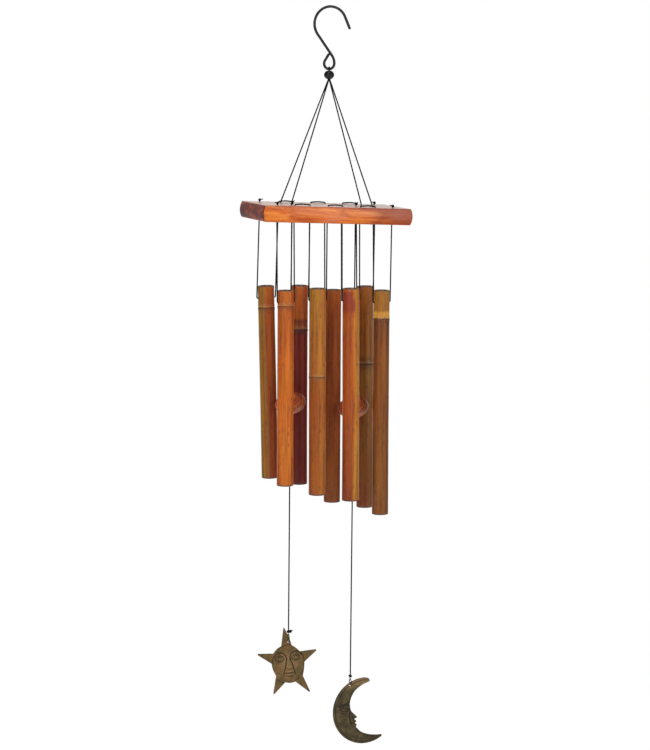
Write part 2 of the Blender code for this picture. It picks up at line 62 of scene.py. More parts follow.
# Cords and holes. The CAD's cords have CORD_R; they are drawn with CORD_LOOK_R, which is nearer to the photo
CORD_R = 0.65 * MM
CORD_LOOK_R = 0.86 * MM
LOOP_CORD_R = 0.6 * MM
LAY = 4.4 * MM
KNOT_R = 2.0 * MM
GATHER_R = 1.7 * MM
CORD_BEND_R = 1.8 * MM
STITCH_BEND_R = 2.0 * MM
LEAD_BEND_R = 1.2 * MM
LEAD_X = 0.82 * MM
LEAD_Y = 0.8 * MM
LEAD_RISE = 2.4 * MM
LEAD_DROP = 1.2 * MM
GAP = 0.3 * MM
HOLE_END = 0.4 * MM
CORD_IN_BAR = 2.5 * MM
LINE_IN_BAR = 2.0 * MM
KNOT_LIE = 0.5 * MM
KNOT_LIFT = 0.5 * MM
CORD_HOLE_R = 1.1 * MM
CROSS_HOLE_R = 1.15 * MM
DISC_TO_STOPPER = 6.6 * MM
TIE_SLACK = 0.9 * MM
CAST_EDGE = 0.5 * MM

# Camera and photograph
VIEW_AZIMUTH = -22.0
VIEW_ELEVATION = 7.754
VIEW_ROLL = 0.55
VIEW_DISTANCE = 3.2
VIEW_TARGET = (-0.00275, 0.0, -0.4392)
VIEW_LENS = 127.2

# Studio: the floor, the surroundings' levels, and the soft lights (place, target, size, power)
FLOOR_Z = -1.45
FLOOR_R = 2.6
FLOOR_GLOW = 0.66
FRONT_LEVEL = 0.16
BACK_LEVEL = 1.0
LIGHTS = (
    ("key", (-2.3, -2.2, 0.7), (0, 0, -0.45), (1.4, 1.8), 50.0),
    ("fill", (1.6, -2.9, 0.3), (0, 0, -0.45), (1.4, 1.8), 31.0),
    ("top", (-0.4, -0.6, 2.2), (0, 0, -0.3), (1.6, 1.6), 20.0),
)


# ---------------------------------------------------------------- camera, light and floor

def placed(name, data):
    """A new object in the scene."""
    made = bpy.data.objects.new(name, data)
    bpy.context.scene.collection.objects.link(made)
    return made


def camera():
    made = placed("camera", bpy.data.cameras.new("camera"))
    a, e = math.radians(VIEW_AZIMUTH), math.radians(VIEW_ELEVATION)
    back = Vector((math.sin(a) * math.cos(e), -math.cos(a) * math.cos(e), math.sin(e)))
    right = Vector((math.cos(a), math.sin(a), 0))
    up = back.cross(right)
    roll = math.radians(VIEW_ROLL)
    tilted_right = right * math.cos(roll) + up * math.sin(roll)
    tilted_up = up * math.cos(roll) - right * math.sin(roll)
    turn = Matrix((tilted_right, tilted_up, back)).transposed()
    made.matrix_world = Matrix.Translation(Vector(VIEW_TARGET) + back * VIEW_DISTANCE) @ turn.to_4x4()
    made.data.lens = VIEW_LENS
    made.data.sensor_width = 36.0
    made.data.clip_end = 200.0
    bpy.context.scene.camera = made


def area_light(name, place, target, size, power):
    light = bpy.data.lights.new(name, "AREA")
    light.shape = "RECTANGLE"
    light.size, light.size_y = size
    light.energy = power
    made = placed(name, light)
    made.location = place
    made.rotation_euler = (Vector(target) - Vector(place)).to_track_quat("-Z", "Y").to_euler()


def surroundings(front, back):
    """A white background, bright behind the chime and dim in front of it, so the lacquer keeps its colour."""
    world = bpy.data.worlds.new("studio")
    world.use_nodes = True
    tree = world.node_tree
    where = tree.nodes.new("ShaderNodeTexCoord")
    facing = tree.nodes.new("ShaderNodeVectorMath")
    facing.operation = "DOT_PRODUCT"
    a = math.radians(VIEW_AZIMUTH)
    facing.inputs[1].default_value = (-math.sin(a), math.cos(a), 0.0)
    level = tree.nodes.new("ShaderNodeMapRange")
    level.interpolation_type = "SMOOTHSTEP"
    for name, value in (("From Min", 0.5), ("From Max", 0.93), ("To Min", front), ("To Max", back)):
        level.inputs[name].default_value = value
    tree.links.new(where.outputs["Generated"], facing.inputs[0])
    tree.links.new(facing.outputs["Value"], level.inputs["Value"])
    seen = tree.nodes.new("ShaderNodeLightPath")
    strength = tree.nodes.new("ShaderNodeMath")
    strength.operation = "MAXIMUM"
    tree.links.new(level.outputs["Result"], strength.inputs[0])
    tree.links.new(seen.outputs["Is Camera Ray"], strength.inputs[1])
    tree.links.new(strength.outputs["Value"], tree.nodes["Background"].inputs["Strength"])
    tree.nodes["Background"].inputs["Color"].default_value = (1.0, 1.0, 1.0, 1.0)
    bpy.context.scene.world = world


def studio():
    """White surroundings, soft lights from the left, the right and above, and a pale floor."""
    scene = bpy.context.scene
    scene.view_settings.view_transform = "Standard"
    surroundings(FRONT_LEVEL, BACK_LEVEL)
    for name, place, target, size, power in LIGHTS:
        area_light(name, place, target, size, power)
    bm = bmesh.new()
    bmesh.ops.create_circle(bm, cap_ends=True, segments=96, radius=FLOOR_R)
    mesh = bpy.data.meshes.new("floor")
    bm.to_mesh(mesh)
    bm.free()
    floor = placed("floor", mesh)
    floor.location = (0, 0, FLOOR_Z)
    paint = Shader("floor")
    grain = paint.noise(3, 3, 3, detail=2)
    paint.put("Base Color", paint.ramp(grain, (0.3, (0.9, 0.9, 0.9)), (0.7, (0.93, 0.93, 0.93))))
    paint.put("Roughness", 0.9)
    paint.put("Emission Color", (1.0, 1.0, 1.0))
    paint.put("Emission Strength", FLOOR_GLOW)
    floor.data.materials.append(paint.material)


# ---------------------------------------------------------------- node materials

class Shader:
    """A material, with short calls that add nodes to it."""

    def __init__(self, name):
        self.material = bpy.data.materials.new(name)
        self.material.use_nodes = True
        self.tree = self.material.node_tree
        self.surface = self.tree.nodes["Principled BSDF"]
        where = self.tree.nodes.new("ShaderNodeTexCoord")
        self.place = where.outputs["Object"]
        self.facing = where.outputs["Normal"]

    def feed(self, socket, value):
        if isinstance(value, bpy.types.NodeSocket):
            self.tree.links.new(value, socket)
        elif isinstance(value, tuple) and len(value) == 3 and len(socket.default_value) == 4:
            socket.default_value = (*value, 1.0)
        else:
            socket.default_value = value

    def put(self, name, value):
        self.feed(self.surface.inputs[name], value)

    def pattern(self, kind, x, y, z):
        """A texture node whose features come x, y and z times per metre."""
        scaled = self.tree.nodes.new("ShaderNodeMapping")
        scaled.inputs["Scale"].default_value = (x, y, z)
        self.tree.links.new(self.place, scaled.inputs["Vector"])
        node = self.tree.nodes.new(kind)
        self.tree.links.new(scaled.outputs["Vector"], node.inputs["Vector"])
        node.inputs["Scale"].default_value = 1.0
        return node

    def noise(self, x, y, z, detail=3.0, distortion=0.0):
        node = self.pattern("ShaderNodeTexNoise", x, y, z)
        node.inputs["Detail"].default_value = detail
        node.inputs["Distortion"].default_value = distortion
        return node.outputs["Fac"]

    def cells(self, x, y, z):
        node = self.pattern("ShaderNodeTexVoronoi", x, y, z)
        return node.outputs["Distance"], node.outputs["Color"]

    def maths(self, operation, a, b=0.0, clamp=False):
        node = self.tree.nodes.new("ShaderNodeMath")
        node.operation = operation
        node.use_clamp = clamp
        for socket, value in zip(node.inputs, (a, b)):
            self.feed(socket, value)
        return node.outputs["Value"]

    def plus(self, a, b):
        return self.maths("ADD", a, b)

    def minus(self, a, b):
        return self.maths("SUBTRACT", a, b)

    def times(self, a, b):
        return self.maths("MULTIPLY", a, b)

    def size(self, a):
        return self.maths("ABSOLUTE", a)

    def from_axis(self, x, y):
        return self.maths("SQRT", self.plus(self.times(x, x), self.times(y, y)))

    def smooth(self, value, low, high, out_low=0.0, out_high=1.0):
        """Rises smoothly from out_low to out_high as value goes from low to high."""
        node = self.tree.nodes.new("ShaderNodeMapRange")
        node.interpolation_type = "SMOOTHSTEP"
        limits = (("From Min", low), ("From Max", high), ("To Min", out_low), ("To Max", out_high))
        for name, number in limits:
            node.inputs[name].default_value = number
        self.feed(node.inputs["Value"], value)
        return node.outputs["Result"]

    def ramp(self, value, *stops):
        node = self.tree.nodes.new("ShaderNodeValToRGB")
        ramp = node.color_ramp
        while len(ramp.elements) < len(stops):
            ramp.elements.new(0.5)
        for element, (where, colour) in zip(ramp.elements, stops):
            element.position = where
        for element, (where, colour) in zip(ramp.elements, stops):
            element.color = (*colour, 1.0)
        self.feed(node.inputs["Fac"], value)
        return node.outputs["Color"]

    def mix(self, share, a, b, blend="MIX"):
        node = self.tree.nodes.new("ShaderNodeMix")
        node.data_type = "RGBA"
        node.blend_type = blend
        self.feed(node.inputs["Factor"], share)
        self.feed(node.inputs[6], a)
        self.feed(node.inputs[7], b)
        return node.outputs[2]

    def split(self, vector):
        node = self.tree.nodes.new("ShaderNodeSeparateXYZ")
        self.tree.links.new(vector, node.inputs["Vector"])
        return node.outputs["X"], node.outputs["Y"], node.outputs["Z"]

    def stored(self, name):
        node = self.tree.nodes.new("ShaderNodeAttribute")
        node.attribute_name = name
        return node.outputs["Fac"]

    def bump(self, height, strength, distance):
        node = self.tree.nodes.new("ShaderNodeBump")
        node.inputs["Strength"].default_value = strength
        node.inputs["Distance"].default_value = distance
        self.feed(node.inputs["Height"], height)
        self.put("Normal", node.outputs["Normal"])


def cord_look():
    """Waxed black cord with fine lint and a little dust on its strands."""
    paint = Shader("waxed_cord")
    fibre = paint.noise(2600, 2600, 900, detail=2)
    dust = paint.noise(160, 160, 60, detail=3)
    colour = paint.ramp(fibre, (0.3, (0.004, 0.004, 0.004)), (0.75, (0.014, 0.013, 0.012)))
    paint.put("Base Color", paint.mix(paint.smooth(dust, 0.5, 0.8, 0, 0.25), colour, (0.03, 0.028, 0.026)))
    paint.put("Roughness", paint.smooth(fibre, 0.2, 0.8, 0.65, 0.85))
    paint.put("Specular IOR Level", 0.1)
    paint.put("Sheen Weight", 0.03)
    paint.put("Sheen Roughness", 0.4)
    paint.bump(fibre, 0.35, 0.00012)
    return paint.material


def hook_look():
    """Black powder coat with a fine orange-peel skin, rubbed a little where the bow hangs."""
    paint = Shader("black_powder_coat")
    peel = paint.noise(900, 900, 900, detail=2)
    patch = paint.noise(90, 90, 90, detail=3)
    _, _, height = paint.split(paint.place)
    rubbed = paint.times(paint.smooth(height, -0.004, 0.0015), paint.smooth(patch, 0.4, 0.62, 0, 0.5))
    base = paint.ramp(patch, (0.3, (0.009, 0.009, 0.010)), (0.75, (0.018, 0.018, 0.018)))
    paint.put("Base Color", paint.mix(rubbed, base, (0.06, 0.058, 0.055)))
    paint.put("Roughness", paint.smooth(patch, 0.25, 0.75, 0.36, 0.46))
    paint.put("Specular IOR Level", 0.3)
    paint.bump(peel, 0.1, 0.00005)
    return paint.material


def bead_look():
    """Glossy black, with faint turning lines and small scuffs."""
    paint = Shader("black_bead")
    turning = paint.noise(40, 40, 2600, detail=2)
    scuff = paint.noise(700, 700, 700, detail=4)
    paint.put("Base Color", paint.ramp(scuff, (0.35, (0.004, 0.004, 0.004)), (0.75, (0.012, 0.011, 0.01))))
    paint.put("Roughness", paint.smooth(scuff, 0.35, 0.75, 0.26, 0.4))
    paint.put("Specular IOR Level", 0.25)
    paint.bump(turning, 0.06, 0.00005)
    return paint.material


# ---------------------------------------------------------------- mesh helpers

def pivot(joint):
    return Vector(JOINTS[joint]["pos_m"])


def axis(joint):
    return Vector(JOINTS[joint]["axis"]).normalized()


def middle(node):
    low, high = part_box(node)
    return (low + high) / 2


def mesh_of(name, points, faces):
    mesh = bpy.data.meshes.new(name)
    mesh.from_pydata([tuple(p) for p in points], [], [tuple(f) for f in faces])
    mesh.update()
    return mesh


def joined(parts):
    """Several (points, faces) as one."""
    points, faces, start = [], [], 0
    for some_points, some_faces in parts:
        points.append(np.asarray(some_points, float))
        faces += [tuple(i + start for i in face) for face in some_faces]
        start += len(some_points)
    return np.concatenate(points), faces


def piece(name, mesh, material, body, nodes, matrix=None):
    """A finished piece: its mesh, its material, the body it rides on and the CAD nodes it stands for."""
    obj = placed(name, mesh)
    if matrix is not None:
        obj.matrix_world = matrix
    mesh.polygons.foreach_set("use_smooth", [True] * len(mesh.polygons))
    mesh.materials.clear()
    mesh.materials.append(material)
    if body is not None:
        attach(obj, body)
    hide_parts(*nodes)
    return obj


def cord_piece(name, parts, look, body, node):
    """A piece made of cord, from its (points, faces) parts."""
    verts, faces = joined(parts)
    return piece(name, mesh_of(name, verts, faces), look, body, [node])


def baked(obj):
    """The object's mesh with its modifiers applied."""
    bpy.context.view_layer.update()
    graph = bpy.context.evaluated_depsgraph_get()
    mesh = bpy.data.meshes.new_from_object(obj.evaluated_get(graph))
    obj.modifiers.clear()
    return mesh


def cut(mesh, holes, segments=24):
    """The mesh with round holes, given as (centre, direction, radius, length), drilled through it."""
    bm = bmesh.new()
    for centre, direction, radius, length in holes:
        turn = Vector(direction).to_track_quat("Z", "Y").to_matrix().to_4x4()
        bmesh.ops.create_cone(bm, cap_ends=True, segments=segments, radius1=radius, radius2=radius,
                              depth=length, matrix=Matrix.Translation(centre) @ turn)
    drill_mesh = bpy.data.meshes.new("drill")
    bm.to_mesh(drill_mesh)
    bm.free()
    drill = placed("drill", drill_mesh)
    work = placed("work", mesh)
    step = work.modifiers.new("holes", "BOOLEAN")
    step.operation = "DIFFERENCE"
    step.solver = "EXACT"
    step.object = drill
    made = baked(work)
    for obj in (drill, work):
        bpy.data.objects.remove(obj, do_unlink=True)
    return made


def rounded(points, radius, steps=6):
    """The path with each corner turned into a short curve."""
    points = [Vector(p) for p in points]
    path = [points[0]]
    for before, corner, after in zip(points, points[1:], points[2:]):
        cut_back = min(radius, (corner - before).length * 0.45, (after - corner).length * 0.45)
        first = corner + (before - corner).normalized() * cut_back
        last = corner + (after - corner).normalized() * cut_back
        for i in range(steps + 1):
            t = i / steps
            path.append((1 - t) ** 2 * first + 2 * t * (1 - t) * corner + t * t * last)
    return path + [points[-1]]


def even(path, step, closed=False):
    """The path as points an equal distance apart."""
    points = np.array([tuple(p) for p in path], float)
    if closed:
        points = np.vstack([points, points[:1]])
    along = np.concatenate([[0], np.cumsum(np.linalg.norm(np.diff(points, axis=0), axis=1))])
    count = max(int(round(along[-1] / step)), 3)
    where = np.linspace(0, along[-1], count + 1)
    if closed:
        where = where[:-1]
    return np.stack([np.interp(where, along, points[:, i]) for i in range(3)], axis=1), along[-1]


def unit(vector):
    return vector / np.linalg.norm(vector)


def carried(ahead):
    """A direction across the path at each of its points, carried along without twist."""
    side = np.cross(ahead[0], (0.31, 0.17, 0.93))
    if np.linalg.norm(side) < 0.3:
        side = np.cross(ahead[0], (0.9, 0.3, 0.1))
    found = [unit(side)]
    for heading in ahead[1:]:
        found.append(unit(found[-1] - heading * (found[-1] @ heading)))
    return np.array(found)


def ring_faces(count, sides, closed):
    """The faces between rings of points, and over both ends of an open run of rings."""
    faces = []
    for i in range(count if closed else count - 1):
        j = (i + 1) % count
        for k in range(sides):
            m = (k + 1) % sides
            faces.append((i * sides + k, i * sides + m, j * sides + m, j * sides + k))
    if not closed:
        faces.append(tuple(reversed(range(sides))))
        faces.append(tuple((count - 1) * sides + k for k in range(sides)))
    return faces


def sweep(path, radius, closed=False, sides=12, step=None, lay=None, lobes=3, depth=0.0, taper=True):
    """A round bar along the path. With a lay it is a cord of twisted strands, one for each lobe."""
    points, length = even(path, step or radius * 0.5, closed)
    count = len(points)
    ahead = np.roll(points, -1, axis=0) - np.roll(points, 1, axis=0)
    if not closed:
        ahead[0], ahead[-1] = points[1] - points[0], points[-1] - points[-2]
    ahead /= np.linalg.norm(ahead, axis=1)[:, None]
    across = carried(ahead)
    turns = 0.0 if lay is None else length / lay
    extra = 0.0
    if closed:
        back = unit(across[-1] - ahead[0] * (across[-1] @ ahead[0]))
        extra = -math.atan2(np.cross(across[0], back) @ ahead[0], across[0] @ back)
        turns = round(turns * lobes) / lobes
    share = np.arange(count) / (count if closed else count - 1)
    twist = share * (math.tau * turns + extra)
    other = np.cross(ahead, across)
    angles = math.tau * np.arange(sides) / sides
    shape = 1 - depth + depth * np.abs(np.cos(lobes / 2 * angles))
    size = np.full(count, radius)
    if not closed and taper:
        size[0], size[-1] = radius * 0.45, radius * 0.45
        size[1], size[-2] = radius * 0.85, radius * 0.85
    turn = twist[:, None] + angles[None, :]
    reach = size[:, None] * shape[None, :]
    rings = (points[:, None, :] + (reach * np.cos(turn))[..., None] * across[:, None, :]
             + (reach * np.sin(turn))[..., None] * other[:, None, :])
    return rings.reshape(-1, 3), ring_faces(count, sides, closed)


def strand(path, radius=CORD_LOOK_R, closed=False):
    """Twisted cord along a path."""
    return sweep(path, radius, closed, sides=12, step=LAY / 11, lay=LAY, lobes=3, depth=0.11)


def knot(centre, up, radius, turn=0.0):
    """A pulled-tight overhand knot: a trefoil of cord round the cord that it is tied in."""
    cord_r = radius * 0.31
    wide, swing, high = radius * 0.44, radius * 0.25, radius * 0.52
    frame_of = Vector(up).to_track_quat("Z", "Y").to_matrix() @ Matrix.Rotation(turn, 3, "Z")
    path = []
    for i in range(72):
        t = math.tau * i / 72
        around = wide + swing * math.cos(3 * t)
        spot = Vector((around * math.cos(2 * t), around * math.sin(2 * t), high * math.sin(3 * t)))
        path.append(Vector(centre) + frame_of @ spot)
    return sweep(path, cord_r, True, sides=10, step=cord_r * 0.5, lay=LAY, lobes=3, depth=0.12)


def tail(start, towards, length):
    """A short cut end of cord, curving as it leaves its knot."""
    start, towards = Vector(start), Vector(towards).normalized()
    path = [start + towards * (length * i / 8) + Vector((0, 0, 0.35 * length * i * (8 - i) / 64))
            for i in range(9)]
    return sweep(path, CORD_R * 0.95, False, sides=12, step=LAY / 11, lay=LAY, lobes=3, depth=0.2)


def turned(profile, segments=64):
    """A closed profile of (radius, height) points turned about Z."""
    count = len(profile)
    verts, faces = [], []
    for k in range(segments):
        a = math.tau * k / segments
        for r, z in profile:
            verts.append((r * math.cos(a), r * math.sin(a), z))
    for k in range(segments):
        m = (k + 1) % segments
        for i in range(count):
            j = (i + 1) % count
            faces.append((k * count + i, k * count + j, m * count + j, m * count + i))
    return np.array(verts), faces


# ---------------------------------------------------------------- hook, loop and bead

HOOK = {"wire": 1.6 * MM, "bow": 20.4 * MM, "tail_angle": 24.0, "tail": 15.9 * MM, "turn": 36.5,
        "shank": 31.2 * MM, "bend": 16.0 * MM, "eye": 6.5 * MM, "eye_end": 33.0, "return": 9.9 * MM}


def arc(centre, radius, start, end, steps):
    angles = [math.radians(start + (end - start) * i / steps) for i in range(steps + 1)]
    return [Vector((centre[0] + radius * math.cos(a), 0, centre[1] + radius * math.sin(a))) for a in angles]


def s_hook():
    """The wire's route: open bow, straight shank, and an eye that closes against the shank."""
    bow = arc((0.0, HOOK["wire"] - HOOK["bow"]), HOOK["bow"], HOOK["tail_angle"], 180 + HOOK["turn"], 90)
    a, b = math.radians(HOOK["tail_angle"]), math.radians(HOOK["turn"])
    tip = bow[0] + Vector((math.sin(a), 0, -math.cos(a))) * HOOK["tail"]
    bend_start = bow[-1] + Vector((math.sin(b), 0, -math.cos(b))) * HOOK["shank"]
    bend_centre = bend_start - Vector((math.cos(b), 0, math.sin(b))) * HOOK["bend"]
    bend = arc((bend_centre.x, bend_centre.z), HOOK["bend"], HOOK["turn"], 0, 20)
    eye_centre = bend[-1] - Vector((HOOK["eye"], 0, 0))
    eye = arc((eye_centre.x, eye_centre.z), HOOK["eye"], 0, -180 - HOOK["eye_end"], 60)
    c = math.radians(HOOK["eye_end"])
    end = eye[-1] + Vector((math.sin(c), 0, math.cos(c))) * HOOK["return"]
    verts, faces = sweep([tip] + bow + bend[1:] + eye[1:] + [end], HOOK["wire"], sides=28,
                         step=0.35 * MM, taper=False)
    sides, rounding = 28, 4
    for ring in range(rounding):
        shrink = math.sqrt(1 - (1 - (ring + 0.35) / rounding) ** 2)
        for start in (ring * sides, len(verts) - (ring + 1) * sides):
            hub = verts[start:start + sides].mean(axis=0)
            verts[start:start + sides] = hub + (verts[start:start + sides] - hub) * shrink
    piece("wire_s_hook", mesh_of("wire_s_hook", verts, faces), hook_look(), "hook", ["s_hook"])


def hang_loop(look):
    """Doubled cord over the eye's wire, down into the bead."""
    top = pivot("chime_swings_fore_and_aft")
    low = pivot("chime_sways_side_to_side").z
    around = HOOK["wire"] + GAP + LOOP_CORD_R
    leg, waist = 0.78 * MM, top.z - HOOK["wire"] - 1.6 * MM
    path = [top + Vector((0, -around * math.cos(math.pi * i / 18), around * math.sin(math.pi * i / 18)))
            for i in range(19)]
    path += [Vector((top.x, leg, waist)), Vector((top.x, leg, low))]
    path += [Vector((top.x, leg * math.cos(a), low - leg * math.sin(a))) for a in np.linspace(0.5, 2.6, 7)]
    path += [Vector((top.x, -leg, low)), Vector((top.x, -leg, waist))]
    cord_piece("cord_loop_on_hook", [strand(path, LOOP_CORD_R, closed=True)], look, "cord_loop", "hang_loop")


def bead(look):
    """A round bead with flattened, softly rounded ends and a bore."""
    low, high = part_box("bead")
    radius, half = (high.y - low.y) / 2, (high.z - low.z) / 2
    bore, edge = 2.2 * MM, math.radians(64)
    profile = [(radius * math.cos(a) * (1 + 0.012 * math.cos(6 * a)), half * math.sin(a) / math.sin(edge))
               for a in np.linspace(edge, -edge, 33)]
    lip = 0.35 * MM
    profile += [(bore + lip, -half - 0.02 * MM), (bore + 0.1 * MM, -half + 0.1 * MM), (bore, -half + lip),
                (bore, half - lip), (bore + 0.1 * MM, half - 0.1 * MM), (bore + lip, half + 0.02 * MM)]
    verts, faces = turned(profile, 72)
    piece("round_bead", mesh_of("round_bead", verts, faces), bead_look(), "canopy", ["bead"],
          Matrix.Translation((low + high) / 2))
    hidden = knot(middle("gather_knot"), (0, 0, 1), GATHER_R)
    cord_piece("knot_in_bead", [hidden], look, "canopy", "gather_knot")


# ---------------------------------------------------------------- bar

BAR_UP = axis("tube_1_swings_on_its_cord").cross(Vector((0, 1, 0)))
BAR_ALONG = axis("tube_1_swings_on_its_cord")
BAR_CENTRE = middle("top_bar")
BAR_T = 2 * ((BAR_CENTRE - pivot("tube_1_swings_on_its_cord")).dot(BAR_UP) - 0.05 * MM)
BAR_FRAME = Matrix((BAR_ALONG, Vector((0, 1, 0)), BAR_UP)).transposed().to_4x4()
BAR_BULGE = 2.8 * MM
BAR_EDGE = 1.1 * MM


def on_bar(x, y, z):
    """A point given along, across and above the bar's top."""
    return BAR_CENTRE + BAR_ALONG * x + Vector((0, y, 0)) + BAR_UP * (z + BAR_T / 2)


def in_bar(point):
    """Along and across the bar."""
    away = Vector(point) - BAR_CENTRE
    return away.dot(BAR_ALONG), away.y


def leg_reach(number):
    """How far each leg of a tube's cord stands from its middle, from the cord's CAD box."""
    low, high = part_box(f"tube_cord_{number}")
    seat = pivot(f"tube_{number}_rocks_on_the_cross_cord")
    drift = abs(pivot(f"tube_{number}_swings_on_its_cord").x - seat.x)
    return (high.x - low.x - 2 * CORD_R - drift) / 2


def row_holes(row):
    """The holes of one row's cord, left to right, in the bar's frame, and the row's place across it."""
    found = []
    for number in (1, 3, 5, 7) if row == "rear" else (2, 4, 6, 8):
        x, y = in_bar(pivot(f"tube_{number}_swings_on_its_cord"))
        found += [x - leg_reach(number), x + leg_reach(number)]
    return found, y


def suspension_holes():
    low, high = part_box("suspension_cord_left")
    across = (high.y - low.y) / 2 - CORD_R
    along = -in_bar((low.x + CORD_R, 0, BAR_CENTRE.z))[0] - BAR_T * 0.55 * math.tan(math.asin(-BAR_ALONG.z))
    return along, across


def wood_look():
    """Lacquered softwood, stained orange: redder edges and right end, a painted reflection of the white
    background on its top, and dark end grain.
    """
    paint = Shader("stained_bar")
    x, y, z = paint.split(paint.place)
    warp = paint.noise(9, 42, 42, detail=3)
    rings = paint.plus(paint.times(z, 620), paint.times(y, 240))
    rings = paint.maths("SINE", paint.plus(rings, paint.times(warp, 22)))
    bands = paint.noise(13, 70, 170, detail=3, distortion=1.1)
    pores = paint.noise(45, 1100, 1100, detail=3)
    cloud = paint.noise(24, 50, 60, detail=4, distortion=0.6)
    grain = paint.ramp(bands, (0.32, (0.62, 0.115, 0.014)), (0.5, (0.73, 0.175, 0.022)),
                       (0.68, (0.86, 0.27, 0.045)))
    grain = paint.mix(paint.smooth(rings, -0.2, 1, 0, 0.3), grain, (0.7, 0.52, 0.42), "MULTIPLY")
    grain = paint.mix(paint.smooth(pores, 0.48, 0.7, 0, 0.5), grain, (0.62, 0.45, 0.4), "MULTIPLY")
    grain = paint.mix(paint.smooth(cloud, 0.48, 0.66, 0, 0.85), grain, (0.68, 0.45, 0.42), "MULTIPLY")
    right = paint.smooth(paint.plus(x, paint.times(cloud, 0.09)), 0.06, 0.12)
    grain = paint.mix(right, grain, paint.mix(0.78, grain, (0.25, 0.03, 0.005)))
    low_edge = paint.smooth(z, -BAR_T / 2 + 3 * MM, -BAR_T / 2, 0, 0.5)
    high_edge = paint.smooth(paint.plus(z, paint.times(cloud, 0.004)), 0.0085, 0.0125, 0, 0.65)
    grain = paint.mix(paint.maths("MAXIMUM", low_edge, high_edge), grain, (0.3, 0.045, 0.012))
    facing_x, _, facing_z = paint.split(paint.facing)
    # Painted reflection: the upward-facing top is painted paler, standing in for the white background
    # mirrored in the lacquer
    grain = paint.mix(paint.smooth(facing_z, 0.8, 0.95, 0, 0.5), grain, (0.85, 0.6, 0.52))
    end = paint.smooth(paint.size(facing_x), 0.55, 0.9)
    smoke = paint.noise(40, 46, 110, detail=4)
    end_wood = paint.ramp(smoke, (0.38, (0.07, 0.012, 0.006)), (0.52, (0.2, 0.028, 0.01)),
                          (0.68, (0.36, 0.055, 0.018)))
    end_wood = paint.mix(paint.smooth(rings, -0.2, 1, 0, 0.5), end_wood, (0.06, 0.01, 0.005))
    right_end = paint.mix(0.6, end_wood, (0.34, 0.06, 0.015))
    end_wood = paint.mix(paint.smooth(x, -0.01, 0.01), end_wood, right_end)
    paint.put("Base Color", paint.mix(end, grain, end_wood))
    polish = paint.smooth(cloud, 0.3, 0.7, 0.3, 0.42)
    paint.put("Roughness", paint.plus(polish, paint.times(end, 0.35)))
    paint.put("Specular IOR Level", 0.2)
    paint.put("Coat Weight", 0.3)
    paint.put("Coat Roughness", 0.14)
    height = paint.plus(paint.times(pores, -0.6), paint.times(rings, 0.12))
    paint.bump(height, 0.3, 0.00025)
    return paint.material


def plank(half, deep, depth, steps=24):
    """A plank whose ends bow out, cut across into even strips."""
    round_r = (deep**2 + BAR_BULGE**2) / (2 * BAR_BULGE)
    reach = math.asin(deep / round_r)
    profile = []
    for side in (1, -1):
        for i in range(13):
            a = reach * (1 - i / 6)
            x = half + BAR_BULGE - round_r + round_r * math.cos(a)
            profile.append((side * x, side * round_r * math.sin(a)))
        for i in range(1, 40):
            profile.append((side * half * (1 - i / 20), -side * deep))
    bm = bmesh.new()
    rows = []
    for j in range(steps + 1):
        y = depth * (j / steps - 0.5)
        rows.append([bm.verts.new((x, y, z)) for x, z in profile])
    count = len(profile)
    for a, b in zip(rows, rows[1:]):
        for i in range(count):
            bm.faces.new((a[i], a[(i + 1) % count], b[(i + 1) % count], b[i]))
    bm.faces.new(rows[0][::-1])
    bm.faces.new(rows[-1])
    bmesh.ops.recalc_face_normals(bm, faces=bm.faces)
    mesh = bpy.data.meshes.new("bar")
    bm.to_mesh(mesh)
    bm.free()
    return mesh


def worn(mesh, deep, depth):
    """The plank with rounded edges and the slight unevenness of hand sanding."""
    work = placed("bar_work", mesh)
    edge = work.modifiers.new("edges", "BEVEL")
    edge.width = BAR_EDGE
    edge.segments = 4
    edge.limit_method = "ANGLE"
    edge.angle_limit = math.radians(50)
    mesh = baked(work)
    bpy.data.objects.remove(work, do_unlink=True)
    for vertex in mesh.vertices:
        co = vertex.co
        lift = noise.noise(co * 38) * 0.12 * MM + noise.noise(co * 130) * 0.05 * MM
        inward = max(abs(co.z) - deep + 0.6 * MM, 0) / (0.6 * MM)
        vertex.co = co - Vector((0, 0, math.copysign(abs(lift) * inward, co.z)))
        vertex.co.y -= math.copysign(abs(lift) * 0.8, co.y) * (abs(co.y) > depth / 2 - 0.5 * MM)
    return mesh


def bar():
    """The worn plank with its cord holes."""
    low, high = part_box("top_bar")
    half, depth = (high.x - low.x) / 2 / BAR_ALONG.x - BAR_BULGE, high.y - low.y
    mesh = worn(plank(half, BAR_T / 2, depth), BAR_T / 2, depth)
    places = [(x, y) for row in ("rear", "front") for holes, y in [row_holes(row)] for x in holes]
    places += [in_bar(pivot(f"{side}_clapper_swings")) for side in ("left", "right")]
    along, across = suspension_holes()
    places += [(s * along, t * across) for s in (-1, 1) for t in (-1, 1)]
    mesh = cut(mesh, [(Vector((x, y, 0)), (0, 0, 1), CORD_HOLE_R, BAR_T * 1.6) for x, y in places])
    mesh.set_sharp_from_angle(angle=math.radians(50))
    piece("wooden_bar", mesh, wood_look(), "canopy", ["top_bar"],
          Matrix.Translation(BAR_CENTRE) @ BAR_FRAME)


# Which way each end knot's cut end points
TAIL_LEAN = {("rear", "left"): (0.9, -0.3, 0.12), ("front", "left"): (-0.8, -0.3, 0.12),
             ("rear", "right"): (-0.7, 0.3, 0.16), ("front", "right"): (-0.7, 0.3, 0.16)}


